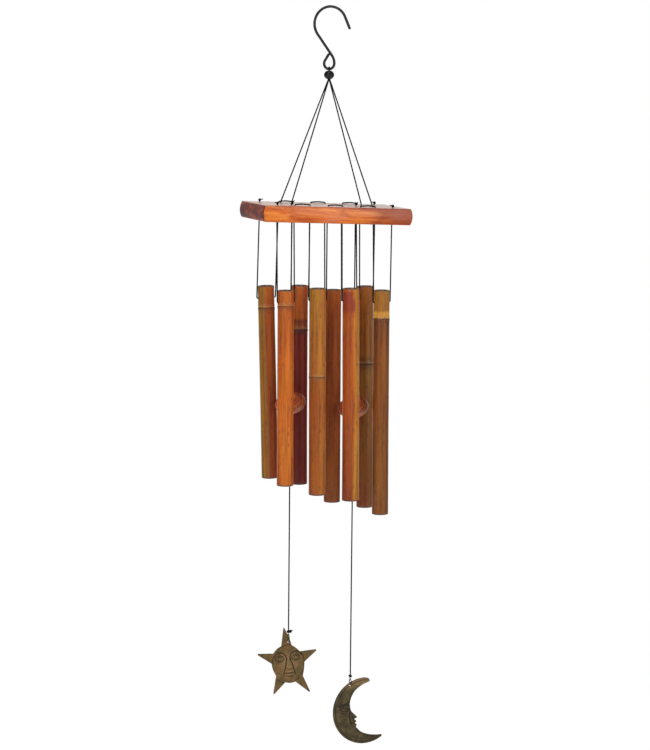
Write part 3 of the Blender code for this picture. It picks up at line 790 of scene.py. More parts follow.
def bar_cords(look):
    """On the bar's top: the end knots, the stitches between tubes and the clappers' stopper knots."""
    for row in ("rear", "front"):
        holes, y = row_holes(row)
        for side, x, lie in (("left", holes[0], -1), ("right", holes[-1], 1)):
            low, high = on_bar(x, y, -BAR_T + HOLE_END), on_bar(x, y, GAP)
            centre = on_bar(x + lie * KNOT_LIE, y, KNOT_R * 0.9 + KNOT_LIFT)
            lying = knot(centre, (0.25 * lie, 0.4, 1), KNOT_R, turn=1.0 + lie)
            parts = [strand([low, high, centre]), lying, tail(centre, TAIL_LEAN[row, side], 4.2 * MM)]
            cord_piece(f"{row}_end_knot_{side}", parts, look, "canopy", f"{row}_knot_{side}")
        for number in (1, 2, 3):
            left, right = holes[2 * number - 1:2 * number + 1]
            low, high, mid = -BAR_T + HOLE_END, CORD_R + GAP, (left + right) / 2
            bow = 0.25 * MM if number % 2 else -0.3 * MM
            shoulder = high + 0.2 * MM
            route = [on_bar(left, y, low), on_bar(left, y, shoulder), on_bar(mid, y + bow, high + 0.9 * MM),
                     on_bar(right, y, shoulder), on_bar(right, y, low)]
            stitch = strand(rounded(route, STITCH_BEND_R))
            cord_piece(f"{row}_row_stitch_{number}", [stitch], look, "canopy", f"{row}_stitch_{number}")
    for number, side in ((1, "left"), (2, "right")):
        x, y = in_bar(pivot(f"{side}_clapper_swings"))
        low, high = on_bar(x, y, -BAR_T + HOLE_END), on_bar(x, y, GAP)
        centre = on_bar(x, y, KNOT_R * 0.9 + KNOT_LIFT)
        parts = [strand([low, high, centre]), knot(centre, (0.1, -0.2, 1), KNOT_R, turn=0.5 * number),
                 tail(centre, (0.8, 0.2, 0.35), 3.6 * MM)]
        cord_piece(f"{side}_clapper_stopper", parts, look, "canopy", f"clapper_knot_{number}")


def suspension(look):
    """Two cords, each from the bead down the front hole, under the bar and back up the rear hole."""
    along, across = suspension_holes()
    under = -BAR_T - CORD_R - GAP
    top, bead_bottom = pivot("chime_sways_side_to_side"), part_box("bead")[0].z
    for name, side in (("left", -1), ("right", 1)):
        half = []
        for sign in (-1, 1):
            lead = Vector((top.x + side * LEAD_X, sign * LEAD_Y, bead_bottom))
            half.append([lead + Vector((0, 0, LEAD_RISE)), lead - Vector((0, 0, LEAD_DROP)),
                         on_bar(side * along, sign * across, 0.8 * MM),
                         on_bar(side * along, sign * across, under)])
        run = strand(rounded(half[0] + half[1][::-1], LEAD_BEND_R))
        cord_piece(f"{name}_suspension_cord", [run], look, "canopy", f"suspension_cord_{name}")


# ---------------------------------------------------------------- bamboo tubes

# Each tube: its colours down its length, a streak down one side, its cane ring below the top in millimetres
# (0 for none) and the ring's colour.
# tones are (share of the length from the top, colour); streak is (angle round the tube, colour, strength).
TUBES = {
    1: {"tones": ((0, (0.474, 0.119, 0.009)), (0.12, (0.379, 0.081, 0.006)), (0.5, (0.256, 0.052, 0.004)),
                  (1, (0.215, 0.033, 0.0036))),
        "streak": (190, (0.33, 0.165, 0.016), 0.85), "ring": 26.0, "band": (0.11, 0.035, 0.012)},
    2: {"tones": ((0, (0.472, 0.096, 0.005)), (0.1, (0.411, 0.067, 0.004)), (0.35, (0.553, 0.116, 0.006)),
                  (0.8, (0.59, 0.135, 0.007)), (1, (0.454, 0.076, 0.005))),
        "streak": (250, (0.596, 0.179, 0.012), 0.5), "ring": 18.5, "band": (0.2, 0.05, 0.012)},
    3: {"tones": ((0, (0.52, 0.125, 0.008)), (0.16, (0.5, 0.12, 0.007)), (0.176, (0.2, 0.04, 0.005)),
                  (0.192, (0.3, 0.07, 0.006)), (0.214, (0.28, 0.06, 0.006)), (0.224, (0.11, 0.01, 0.003)),
                  (0.25, (0.2, 0.016, 0.003)), (1, (0.11, 0.007, 0.003))),
        "streak": (320, (0.277, 0.026, 0.005), 0.4), "ring": 53.0, "band": (0.05, 0.012, 0.006)},
    4: {"tones": ((0, (0.427, 0.184, 0.016)), (0.4, (0.409, 0.143, 0.015)), (0.45, (0.327, 0.085, 0.007)),
                  (1, (0.339, 0.077, 0.006))),
        "streak": (305, (0.508, 0.171, 0.015), 0.5), "ring": 106.0, "band": (0.17, 0.06, 0.016)},
    5: {"tones": ((0, (0.572, 0.13, 0.008)), (0.3, (0.416, 0.094, 0.009)), (1, (0.28, 0.06, 0.0036))),
        "streak": (230, (0.26, 0.068, 0.008), 0.6), "ring": 0.0, "band": (0.1, 0.03, 0.01)},
    6: {"tones": ((0, (0.442, 0.104, 0.01)), (0.4, (0.442, 0.092, 0.009)), (1, (0.25, 0.04, 0.0035))),
        "streak": (310, (0.579, 0.227, 0.022), 0.85), "ring": 0.0, "band": (0.2, 0.05, 0.014)},
    7: {"tones": ((0, (0.357, 0.112, 0.008)), (0.3, (0.315, 0.112, 0.008)), (0.335, (0.168, 0.067, 0.012)),
                  (0.4, (0.274, 0.117, 0.017)), (1, (0.211, 0.044, 0.003))),
        "streak": (330, (0.3, 0.13, 0.014), 0.4), "ring": 95.0, "band": (0.06, 0.02, 0.008)},
    8: {"tones": ((0, (0.4, 0.172, 0.02)), (0.088, (0.43, 0.183, 0.021)), (0.1, (0.9, 0.48, 0.07)),
                  (0.12, (0.85, 0.44, 0.06)), (0.13, (0.13, 0.03, 0.004)), (0.25, (0.216, 0.058, 0.005)),
                  (1, (0.19, 0.048, 0.005))),
        "streak": (250, (0.295, 0.108, 0.011), 0.4), "ring": 34.0, "band": (0.1, 0.03, 0.01)},
}
STAINED_TUBE = 6
WALL = 2.1 * MM
TUBE_TAPER = 0.125 * MM
TUBE_BOW = 0.22 * MM
TUBE_SHRINK = 0.004
# A cane ring's profile: how far above the ring, and how far out, in millimetres
RING_STEPS = ((-4.0, 0.0), (-1.6, 0.35), (-0.4, 0.5), (0.5, -0.35), (1.6, 0.3), (4.5, 0.0))


def tube_size(number):
    """Radius, length, lean and hole drop of a tube, from its CAD box and joint."""
    low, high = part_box(f"bamboo_tube_{number}")
    along = axis(f"tube_{number}_rocks_on_the_cross_cord")
    lean = math.atan2(along.z, along.x)
    widest = (0.5 if TUBES[number]["ring"] else 0.25) * MM
    radius = (high.y - low.y) / 2 - widest
    rim = radius * math.sin(abs(lean))
    length = (high.z - low.z - 2 * rim) / math.cos(lean)
    drop = high.z - rim - pivot(f"tube_{number}_rocks_on_the_cross_cord").z
    return radius, length, lean, drop / math.cos(lean)


def ring_marks(paint, colour, z, told):
    """The colour with a cane ring on it, and how crinkled the cane is near the ring."""
    ragged = paint.noise(170, 170, 60, detail=3)
    off = paint.plus(paint.plus(z, told["ring"] * MM), paint.times(paint.minus(ragged, 0.5), 3.0 * MM))
    line = paint.smooth(paint.size(paint.plus(off, 0.4 * MM)), 1.1 * MM, 0.3 * MM, 0, 0.85)
    below = paint.times(paint.smooth(off, 0.2 * MM, -0.6 * MM), paint.smooth(off, -7 * MM, -1 * MM, 0, 0.4))
    pale = paint.times(paint.smooth(off, 0.2 * MM, 1.0 * MM), paint.smooth(off, 6 * MM, 1.5 * MM, 0, 0.28))
    crinkle = paint.noise(210, 210, 620, detail=3, distortion=1.6)
    nearby = paint.smooth(paint.size(off), 8.5 * MM, 1.5 * MM)
    crinkle = paint.times(paint.smooth(crinkle, 0.5, 0.62, 0, 0.7), nearby)
    colour = paint.mix(crinkle, colour, (0.5, 0.38, 0.34), "MULTIPLY")
    colour = paint.mix(pale, colour, (0.5, 0.25, 0.07))
    for share in (below, line):
        colour = paint.mix(share, colour, told["band"])
    return colour, crinkle


def top_stain(paint, colour, x, y, z, cloud):
    """The colour with a red stain near the top of the tube, on its front left side."""
    spot = paint.plus(paint.times(x, -0.75), paint.times(y, -0.66))
    patchy = paint.plus(spot, paint.times(paint.minus(cloud, 0.5), 0.012))
    stain = paint.times(paint.smooth(patchy, 0.004, 0.0078), paint.smooth(z, -0.032, -0.024))
    stain = paint.times(stain, paint.smooth(z, -0.002, -0.005, 0, 0.85))
    return paint.mix(stain, colour, (0.26, 0.032, 0.014))


def cane_grain(paint, colour, number, x, y, radius):
    """The colour with its streak, blush, fibres and ribs on it, and the patterns used again elsewhere."""
    angle, streak_colour, strength = TUBES[number]["streak"]
    a = math.radians(angle)
    toward = paint.plus(paint.times(x, math.cos(a) / radius), paint.times(y, math.sin(a) / radius))
    long_streak = paint.noise(210, 210, 3.2 + number * 0.146, detail=2)
    fine_streak = paint.noise(340, 340, 15, detail=3)
    fibre = paint.noise(2400, 2400, 26, detail=3)
    cloud = paint.noise(170, 170, 60, detail=4)
    blush = paint.noise(38, 38, 11, detail=2, distortion=0.8)
    ribs = paint.noise(100, 100, 520, detail=3)
    side = paint.plus(toward, paint.times(paint.minus(long_streak, 0.5), 0.9))
    colour = paint.mix(paint.smooth(side, 0.45, 0.95, 0, strength), colour, streak_colour)
    for pattern, low, high, most, tint in (
            (blush, 0.5, 0.68, 0.6, (1.12, 0.86, 0.72)), (blush, 0.5, 0.32, 0.6, (0.95, 1.12, 1.1)),
            (long_streak, 0.46, 0.62, 0.62, (0.66, 0.56, 0.5)),
            (long_streak, 0.44, 0.3, 0.5, (1.22, 1.2, 1.1)),
            (fine_streak, 0.5, 0.66, 0.68, (0.58, 0.48, 0.42)),
            (fine_streak, 0.48, 0.32, 0.6, (1.3, 1.28, 1.22)),
            (cloud, 0.52, 0.7, 0.55, (0.66, 0.54, 0.48)), (cloud, 0.45, 0.3, 0.3, (1.2, 1.22, 1.2)),
            (ribs, 0.5, 0.7, 0.3, (0.7, 0.64, 0.6)), (fibre, 0.38, 0.66, 0.4, (0.58, 0.5, 0.46))):
        colour = paint.mix(paint.smooth(pattern, low, high, 0, most), colour, tint, "MULTIPLY")
    return colour, fibre, fine_streak, cloud, ribs


def bamboo_look(number, radius, length):
    """Lacquered cane: fine fibres, long streaks, speckles, a stained ring, and dark cut ends."""
    told = TUBES[number]
    paint = Shader(f"lacquered_bamboo_{number}")
    x, y, z = paint.split(paint.place)
    share = paint.maths("DIVIDE", z, -length, clamp=True)
    wander = paint.noise(55, 55, 9, detail=2)
    share = paint.plus(share, paint.times(paint.minus(wander, 0.5), 0.012))
    tones = paint.ramp(share, *told["tones"])
    colour, fibre, fine_streak, cloud, ribs = cane_grain(paint, tones, number, x, y, radius)
    near, tint = paint.cells(430, 430, 120)
    pick, _, _ = paint.split(tint)
    speck = paint.times(paint.smooth(near, 0.42, 0.2), paint.smooth(pick, 0.83, 0.9, 0, 0.55))
    colour = paint.mix(speck, colour, (0.05, 0.018, 0.008))
    if told["ring"]:
        colour, crinkle = ring_marks(paint, colour, z, told)
    if number == STAINED_TUBE:
        colour = top_stain(paint, colour, x, y, z, cloud)
    ends = paint.maths("MAXIMUM", paint.smooth(z, -0.9 * MM, -0.15 * MM),
                       paint.smooth(z, -length + 2.4 * MM, -length + 0.5 * MM))
    colour = paint.mix(paint.times(ends, 0.88), colour, (0.04, 0.014, 0.007))
    from_axis = paint.from_axis(x, y)
    inner_wood = paint.ramp(fibre, (0.3, (0.09, 0.04, 0.014)), (0.7, (0.2, 0.1, 0.036)))
    inside = paint.smooth(from_axis, radius - 0.75 * MM, radius - 1.0 * MM)
    paint.put("Base Color", paint.mix(inside, colour, inner_wood))
    paint.put("Roughness", paint.smooth(cloud, 0.3, 0.75, 0.34, 0.5))
    paint.put("Specular IOR Level", 0.35)
    paint.put("Coat Weight", 0.14)
    paint.put("Coat Roughness", 0.15)
    height = paint.plus(paint.times(fibre, 0.6), paint.times(fine_streak, 0.5))
    height = paint.plus(height, paint.times(ribs, 0.35))
    height = paint.minus(height, paint.times(speck, 0.6))
    if told["ring"]:
        height = paint.minus(height, paint.times(crinkle, 0.9))
    paint.bump(height, 0.4, 0.00025)
    return paint.material


def bamboo(number):
    """One tube: a slightly oval, slightly bowed cane with its ring, its bore and its two cross holes."""
    radius, length, lean, drop = tube_size(number)
    ring = TUBES[number]["ring"] * MM
    outer = [(radius - 0.55 * MM, 0.0), (radius - 0.28 * MM, -0.07 * MM), (radius - 0.08 * MM, -0.3 * MM)]
    levels = list(np.arange(0.7 * MM, length - 0.8 * MM, 3.0 * MM))
    if ring:
        levels += list(np.arange(ring - 6 * MM, ring + 6 * MM, 0.35 * MM))
    levels = sorted(levels)
    steps = np.array([(-9.0, 0.0)] + list(RING_STEPS) + [(9.0, 0.0)])
    for level in levels:
        swell = np.interp((ring - level) / MM, steps[:, 0], steps[:, 1]) * MM if ring else 0.0
        taper = TUBE_TAPER * min(level / (0.7 * length), 1) + TUBE_TAPER * max(level / length - 0.7, 0) / 0.3
        outer.append((radius + taper + swell, -level))
    end = radius + 0.22 * MM
    outer += [(end, -length + 0.5 * MM), (end - 0.2 * MM, -length + 0.12 * MM), (end - 0.5 * MM, -length)]
    bore = radius - WALL
    inner = [(bore + 0.3 * MM, -length + 0.02 * MM), (bore, -length + 0.6 * MM)]
    inner += [(bore, -length * share) for share in np.linspace(0.96, 0.05, 18)]
    inner += [(bore, -0.6 * MM), (bore + 0.3 * MM, -0.02 * MM)]
    verts, faces = turned(outer + inner, 72)
    seed = Vector((number * 3.7, number * 1.9, 0.4))
    around = np.arctan2(verts[:, 1], verts[:, 0])
    shaped = []
    for (x, y, z), a in zip(verts, around):
        spot = Vector((math.cos(a), math.sin(a), z * 9)) + seed
        swell = 1 + 0.009 * noise.noise(spot * 1.3) + 0.0035 * noise.noise(spot * 4.1) - TUBE_SHRINK
        bow = TUBE_BOW * math.sin(math.pi * -z / length + number)
        shaped.append((x * swell + bow - TUBE_BOW * math.sin(number), y * swell, z))
    mesh = mesh_of(f"bamboo_{number}", shaped, faces)
    mesh = cut(mesh, [(Vector((0, 0, -drop)), (1, 0, 0), CROSS_HOLE_R, 40 * MM)])
    mesh.set_sharp_from_angle(angle=math.radians(42))
    seat = pivot(f"tube_{number}_rocks_on_the_cross_cord")
    upright = Matrix.Rotation(-lean, 3, "Y")
    top = seat + upright @ Vector((0, 0, drop))
    piece(f"bamboo_{number}", mesh, bamboo_look(number, radius, length), f"tube_{number}",
          [f"bamboo_tube_{number}"], Matrix.Translation(top) @ upright.to_4x4())


def tube_cord(number, look):
    """Down one side of the tube, through its cross holes, up the other; it bends under the bar."""
    origin = pivot(f"tube_{number}_swings_on_its_cord")
    cross = f"tube_{number}_rocks_on_the_cross_cord"
    seat, along = pivot(cross), axis(cross)
    reach = leg_reach(number)
    tops = [origin + BAR_ALONG * side * reach for side in (-1, 1)]
    hole = BAR_UP * CORD_IN_BAR
    route = [tops[0] + hole, tops[0], seat - along * reach, seat + along * reach, tops[1], tops[1] + hole]
    run = strand(rounded(route, CORD_BEND_R))
    made = cord_piece(f"cord_of_bamboo_{number}", [run], look, None, f"tube_cord_{number}")
    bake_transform(made)


# ---------------------------------------------------------------- clappers

def disc_look():
    """Turned hardwood stained red, its rim and groove darker, and a painted highlight: a pale band round its
    outer edge.
    """
    paint = Shader("stained_clapper")
    x, y, _ = paint.split(paint.place)
    from_axis = paint.from_axis(x, y)
    warp = paint.noise(60, 60, 60, detail=3)
    rings = paint.maths("SINE", paint.plus(paint.times(x, 900), paint.times(warp, 24)))
    pores = paint.noise(1500, 160, 1500, detail=3)
    cloud = paint.noise(110, 110, 110, detail=3)
    base = paint.ramp(cloud, (0.32, (0.8, 0.12, 0.025)), (0.55, (0.95, 0.2, 0.04)),
                      (0.72, (1.0, 0.3, 0.07)))
    base = paint.mix(paint.smooth(rings, -0.6, 1, 0, 0.3), base, (0.26, 0.04, 0.012))
    base = paint.mix(paint.smooth(pores, 0.5, 0.75, 0, 0.35), base, (0.08, 0.018, 0.008))
    rim = paint.smooth(from_axis, 15.4 * MM, 16.6 * MM, 0, 0.75)
    base = paint.mix(rim, base, (0.27, 0.06, 0.022))
    groove = paint.smooth(paint.size(paint.minus(from_axis, 14.6 * MM)), 0.7 * MM, 0.3 * MM, 0, 0.8)
    base = paint.mix(groove, base, (0.035, 0.01, 0.006))
    # Painted highlight: a pale band round the outermost edge of the rim, standing in for light caught on the
    # rounded edge
    worn = paint.times(paint.smooth(from_axis, 17.4 * MM, 17.9 * MM),
                       paint.smooth(from_axis, 18.45 * MM, 18.2 * MM))
    base = paint.mix(paint.times(worn, paint.smooth(cloud, 0.35, 0.6, 0.3, 0.8)), base, (0.5, 0.25, 0.15))
    mouth = paint.smooth(from_axis, 4.0 * MM, 3.0 * MM, 0, 0.7)
    paint.put("Base Color", paint.mix(mouth, base, (0.05, 0.014, 0.008)))
    paint.put("Roughness", paint.smooth(cloud, 0.3, 0.7, 0.3, 0.45))
    paint.put("Coat Weight", 0.35)
    paint.put("Coat Roughness", 0.2)
    paint.bump(paint.times(pores, -1.0), 0.25, 0.0002)
    return paint.material


DISC_R = 18.6 * MM
DISC_T = 6.4 * MM
DISC_EYE_R = 1.35 * MM
DISC_MOUTH_R = 3.7 * MM
DISC_TURNS = ((-38, "Z"), (34, "X"))
# The groove turned in each face of a disc: distance from its axis and how far down, in millimetres
DISC_GROOVE = ((13.6, 0.05), (14.15, 0.14), (14.45, 0.5), (14.75, 0.5), (15.05, 0.14), (15.4, 0.08))


def clapper(number, side, look, wood):
    """The disc with its turned groove, and the cord from the bar down into it."""
    disc = f"clapper_disc_{number}"
    centre = pivot(f"{side}_clapper_turns_on_its_cord")
    radius, half, eye, mouth = DISC_R, DISC_T / 2, DISC_EYE_R, DISC_MOUTH_R
    face = [(mouth - 0.9 * MM, half - 1.1 * MM), (mouth - 0.25 * MM, half - 0.25 * MM),
            (mouth + 0.25 * MM, half), (9 * MM, half)]
    face += [(r * MM, half - sunk * MM) for r, sunk in DISC_GROOVE]
    rim = [(radius - half + half * math.cos(a), half * math.sin(a)) for a in np.linspace(1.35, -1.35, 17)]
    profile = face + rim + [(r, -z) for r, z in reversed(face)] + [(eye, -0.35 * MM), (eye, 0.35 * MM)]
    verts, faces = turned(profile, 96)
    mesh = mesh_of(disc, verts, faces)
    mesh.set_sharp_from_angle(angle=math.radians(55))
    about = [Matrix.Rotation(math.radians(angle), 3, name) for angle, name in DISC_TURNS]
    turn = (about[0] @ about[1]).to_4x4()
    piece(f"{side}_wooden_clapper", mesh, wood, f"{side}_clapper", [disc],
          Matrix.Translation(centre) @ turn)
    top = pivot(f"{side}_clapper_swings")
    low = Vector((centre.x, 0, centre.z - 1.6 * MM))
    line = strand([top + BAR_UP * LINE_IN_BAR, top, (top + low) / 2, low])
    cord_piece(f"{side}_clapper_line", [line], look, f"{side}_clapper_cord", f"clapper_cord_{number}")


def pendant(charm, side, look):
    """Stopper knot under the disc, long cord, and knot over the charm."""
    disc = pivot(f"{side}_clapper_turns_on_its_cord")
    x = disc.x
    stop_z = disc.z - DISC_TO_STOPPER
    knot_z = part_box(f"{charm}_cord")[0].z + KNOT_R * 0.95
    down = Vector((0, 0, -1))
    parts = [strand([(x, 0, stop_z + 1.2 * MM), (x, 0, (stop_z + knot_z) / 2), (x, 0, knot_z - 0.8 * MM)]),
             knot((x, 0, stop_z), down, KNOT_R * 1.05), knot((x, 0, knot_z), down, KNOT_R * 1.18, turn=0.6)]
    if charm == "star":
        beside = (x + 2.4 * MM, -0.3 * MM, knot_z + 0.3 * MM)
        parts += [knot(beside, (1, 0.2, 0.3), KNOT_R * 1.1), tail(beside, (0.8, -0.1, 0.3), 3.6 * MM)]
    else:
        parts.append(tail((x, 0, knot_z), (-0.75, -0.2, 0.4), 3.0 * MM))
    cord_piece(f"{charm}_line", parts, look, f"{side}_clapper", f"{charm}_cord")


def tie(charm, side, look):
    """The loop through the charm's hole, pinched at the top."""
    rest = pivot(f"{charm}_swings_on_its_tie")
    low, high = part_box(f"{charm}_tie")
    half_y = (high.y - low.y) / 2 - LOOP_CORD_R
    half_z, centre_z = (high.z - low.z) / 2 - LOOP_CORD_R, (low.z + high.z) / 2
    path = []
    for i in range(48):
        a = math.tau * i / 48
        square = 1.0 / max(abs(math.cos(a)) ** 3 + abs(math.sin(a)) ** 3, 0.7) ** (1 / 3)
        pinch = 1 - 0.55 * max(math.sin(a), 0) ** 1.5
        y = half_y * math.cos(a) * square * pinch
        path.append(Vector((rest.x, y, centre_z + half_z * math.sin(a))))
    loop = strand(path, LOOP_CORD_R, closed=True)
    cord_piece(f"{charm}_tie_loop", [loop], look, f"{side}_clapper", f"{charm}_tie")


# ---------------------------------------------------------------- cast charms

CHARM_VOXEL = 0.3 * MM
CHARM_HOLE_R = 1.8 * MM
STAR_HOLE_R = 1.4 * MM
STAR_T = 1.8 * MM
MOON_T = 3.5 * MM
FACE_DROP = 26.5
STAR_SHIFT = -0.4
MOON_SHIFT = -0.35

# Star, in millimetres about the middle of its face, clockwise: each arm's points, then the three points of
# the face's edge between it and the next arm
STAR_EDGE = (
    (((-6.3, 44.5), (-5.2, 44.5), (1.6, 31.5)), ((4.6, 22.2), (10.0, 18.7), (15.3, 13.6))),
    (((36.4, 14.6), (37.2, 12.9)), ((21.6, 0.2), (21.1, -9.1), (19.6, -17.0))),
    (((29.4, -37.6), (28.2, -38.4)), ((9.8, -23.8), (3.2, -25.0), (-3.3, -23.6))),
    (((-17.6, -37.4), (-18.8, -36.3)), ((-15.3, -14.8), (-19.4, -7.0), (-21.1, 0.8))),
    (((-39.6, 13.2), (-39.2, 14.9)), ((-18.9, 13.5), (-14.8, 18.6), (-8.9, 21.8))),
)
# Moon, in millimetres from its hole
MOON_R = 41.6
MOON_CENTRE = (19.5, -33.6)
MOON_SWEEP = (88.0, 304.0)
MOON_FACE = (
    (24.4, 6.9), (25.9, 4.8), (25.2, 2.7), (18.3, 0.3), (11.7, -3.3), (5.7, -8.5), (1.8, -15.1),
    (-0.1, -22.5), (0.4, -28.3), (1.7, -32.4), (4.0, -35.2), (9.5, -40.9), (6.1, -43.0),
    (9.0, -46.2), (7.1, -48.0), (9.6, -50.6), (8.3, -52.6), (10.5, -55.6), (15.7, -60.4),
    (24.5, -64.1), (34.0, -65.9), (43.2, -66.2),
)


def through(a, b, c, steps=6):
    """A curve from a to c that passes through b halfway."""
    a, b, c = Vector(a), Vector(b), Vector(c)
    bend = 2 * b - (a + c) / 2
    shares = [i / (steps - 1) for i in range(steps)]
    return [(1 - t) ** 2 * a + 2 * t * (1 - t) * bend + t * t * c for t in shares]


def flowing(points, steps=5):
    """A smooth line through every point."""
    points = [Vector(p) for p in points]
    ends = [2 * points[0] - points[1]] + points + [2 * points[-1] - points[-2]]
    line = []
    for a, b, c, d in zip(ends, ends[1:], ends[2:], ends[3:]):
        for i in range(steps):
            t = i / steps
            line.append(0.5 * (2 * b + (c - a) * t + (2 * a - 5 * b + 4 * c - d) * t**2
                               + (3 * b - a - 3 * c + d) * t**3))
    return line + [points[-1]]


def casting(name, outline, thickness):
    """A plate of even fine facets from its outline in millimetres, with rounded edges and a flat back."""
    curve = bpy.data.curves.new(name, "CURVE")
    curve.dimensions = "2D"
    curve.fill_mode = "BOTH"
    curve.extrude = thickness / 2 - CAST_EDGE
    curve.bevel_depth = CAST_EDGE
    curve.bevel_resolution = 2
    curve.offset = -CAST_EDGE
    spline = curve.splines.new("POLY")
    spline.points.add(len(outline) - 1)
    for slot, (x, z) in zip(spline.points, outline):
        slot.co = (x * MM, z * MM, 0, 1)
    spline.use_cyclic_u = True
    shape = placed(name, curve)
    bpy.context.view_layer.update()
    mesh = bpy.data.meshes.new_from_object(shape.evaluated_get(bpy.context.evaluated_depsgraph_get()))
    bpy.data.objects.remove(shape, do_unlink=True)
    mesh.transform(Matrix.Rotation(math.pi / 2, 4, "X"))
    work = placed(name, mesh)
    bm = bmesh.new()
    bm.from_mesh(mesh)
    bmesh.ops.remove_doubles(bm, verts=bm.verts, dist=0.00002)
    bmesh.ops.recalc_face_normals(bm, faces=bm.faces)
    bm.to_mesh(mesh)
    bm.free()
    fine = work.modifiers.new("fine", "REMESH")
    fine.mode = "VOXEL"
    fine.voxel_size = CHARM_VOXEL
    made = baked(work)
    bpy.data.objects.remove(work, do_unlink=True)
    return made


def away_from(points, line):
    """Each point's distance from a line, in the plane."""
    line = np.array([tuple(p)[:2] for p in line], float)
    best = np.full(len(points), 1e9)
    for a, b in zip(line, line[1:]):
        run = b - a
        share = np.clip((points - a) @ run / (run @ run), 0, 1)
        best = np.minimum(best, np.linalg.norm(points - a - share[:, None] * run, axis=1))
    return best


def swell_at(points, centre, size, height, turn=0.0):
    """A soft oval mound, in millimetres."""
    away = points - np.array(centre)
    c, s = math.cos(math.radians(turn)), math.sin(math.radians(turn))
    x, z = away[:, 0] * c + away[:, 1] * s, away[:, 1] * c - away[:, 0] * s
    return height * np.exp(-(x / size[0]) ** 2 - (z / size[1]) ** 2)


def almond(centre, size, turn=0.0, steps=28):
    """The outline of an eye."""
    line = []
    for i in range(steps + 1):
        a = math.tau * i / steps
        x, z = size[0] * math.cos(a), size[1] * math.sin(a) * (0.55 + 0.45 * abs(math.sin(a)))
        c, s = math.cos(math.radians(turn)), math.sin(math.radians(turn))
        line.append((centre[0] + x * c - z * s, centre[1] + x * s + z * c))
    return line


def groove(points, line, width):
    """One in the middle of a groove and nothing beside it."""
    return np.exp(-(away_from(points, line) / width) ** 2)


# Mounds of the star's face: place, size and height (nostrils, lips, chin); and its cuts: depth, width and
# three points (under the nose, the mouth, under the lower lip, over the upper lip)
STAR_MOUNDS = (
    ((-0.7, -4.3), (1.4, 1.3), 0.3), ((3.9, -4.0), (1.4, 1.3), 0.3), ((1.9, -10.1), (5.0, 1.1), 0.5),
    ((2.2, -13.6), (4.2, 1.4), 0.55), ((2.4, -19.4), (4.2, 2.0), 0.3),
)
STAR_CUTS = (
    (0.9, 0.5, ((-2.6, -5.2), (1.6, -6.8), (5.6, -5.0))),
    (1.0, 0.5, ((-3.3, -11.6), (2.1, -12.1), (7.4, -11.2))),
    (0.8, 0.55, ((-2.4, -14.8), (2.3, -16.2), (6.8, -14.4))),
    (0.35, 0.5, ((-3.0, -8.6), (2.0, -8.4), (6.6, -8.2))),
)


def star_relief(points):
    """The star's front, in millimetres about the face's middle: height, and how deep in a groove."""
    x, z = points[:, 0], points[:, 1]
    oval = np.clip(1 - (x / 18.4) ** 2 - (z / 21.8) ** 2, 0, 1)
    height = np.maximum(2.2 * np.sqrt(oval) - 0.9, 0)
    edge = np.sqrt(((x - 0.2) / 20.9) ** 2 + ((z + 0.9) / 24.0) ** 2)
    height -= 0.28 * np.clip((edge - 0.97) / 0.06, 0, 1)
    left = flowing([(-18.0, 7.5), (-16.4, 11.2), (-13.0, 13.6), (-8.4, 13.7), (-4.4, 10.8), (-2.6, 6.2),
                    (-3.1, 0.6), (-4.1, -5.6), (-5.2, -10.6), (-5.5, -14.3)])
    right = flowing([(17.9, 8.7), (16.0, 12.0), (12.6, 14.4), (8.4, 14.6), (4.4, 12.6), (2.1, 9.3),
                     (2.3, 5.6), (4.6, 0.6), (6.6, -5.0), (8.6, -10.0), (10.0, -14.6)])
    cuts = np.zeros(len(points))
    for line in (left, right):
        cuts = np.maximum(cuts, groove(points, line, 0.62))
    for centre, turn in (((-11.4, 6.4), 6), ((9.4, 7.2), 3)):
        height += swell_at(points, centre, (4.8, 3.2), 0.45, turn)
        cuts = np.maximum(cuts, 0.95 * groove(points, almond(centre, (5.3, 3.7), turn), 0.5))
        cuts = np.maximum(cuts, 0.75 * groove(points, almond(centre, (2.1, 2.3)), 0.42))
        brow = [(centre[0] + 7.4 * math.cos(a), centre[1] + 5.6 * math.sin(a))
                for a in np.linspace(0.35, 2.75, 12)]
        height += 0.3 * groove(points, brow, 0.8)
    height += 0.95 * np.exp(-(away_from(points, [(-0.2, 8.5), (0.7, 0.0), (1.6, -4.6)])
                              / np.interp(z, [-5, 9], [2.5, 1.3])) ** 2)
    for mound in STAR_MOUNDS:
        height += swell_at(points, *mound)
    for share, width, line in STAR_CUTS:
        cuts = np.maximum(cuts, share * groove(points, through(*line), width))
    seam = 0.8 * np.exp(-(((edge - 1.0) * 22) / 0.6) ** 2)
    arms = (z > 18) | (np.abs(x) > 17) | (z < -18)
    cuts = np.maximum(cuts, seam * arms)
    return height - 0.62 * cuts, cuts


# Mounds of the moon's face: place, size, height and turn (cheek, jaw, nose, lips, eyelid)
MOON_MOUNDS = (
    ((-7.2, -41.5), (4.6, 5.6), 0.6, 10), ((-1.0, -54.0), (7.0, 4.0), 0.35),
    ((5.2, -38.6), (2.6, 2.2), 0.5, -40), ((5.9, -46.0), (2.0, 1.0), 0.3), ((6.2, -50.0), (2.2, 1.2), 0.3),
    ((-6.8, -30.2), (4.4, 1.7), 0.4, -5),
)
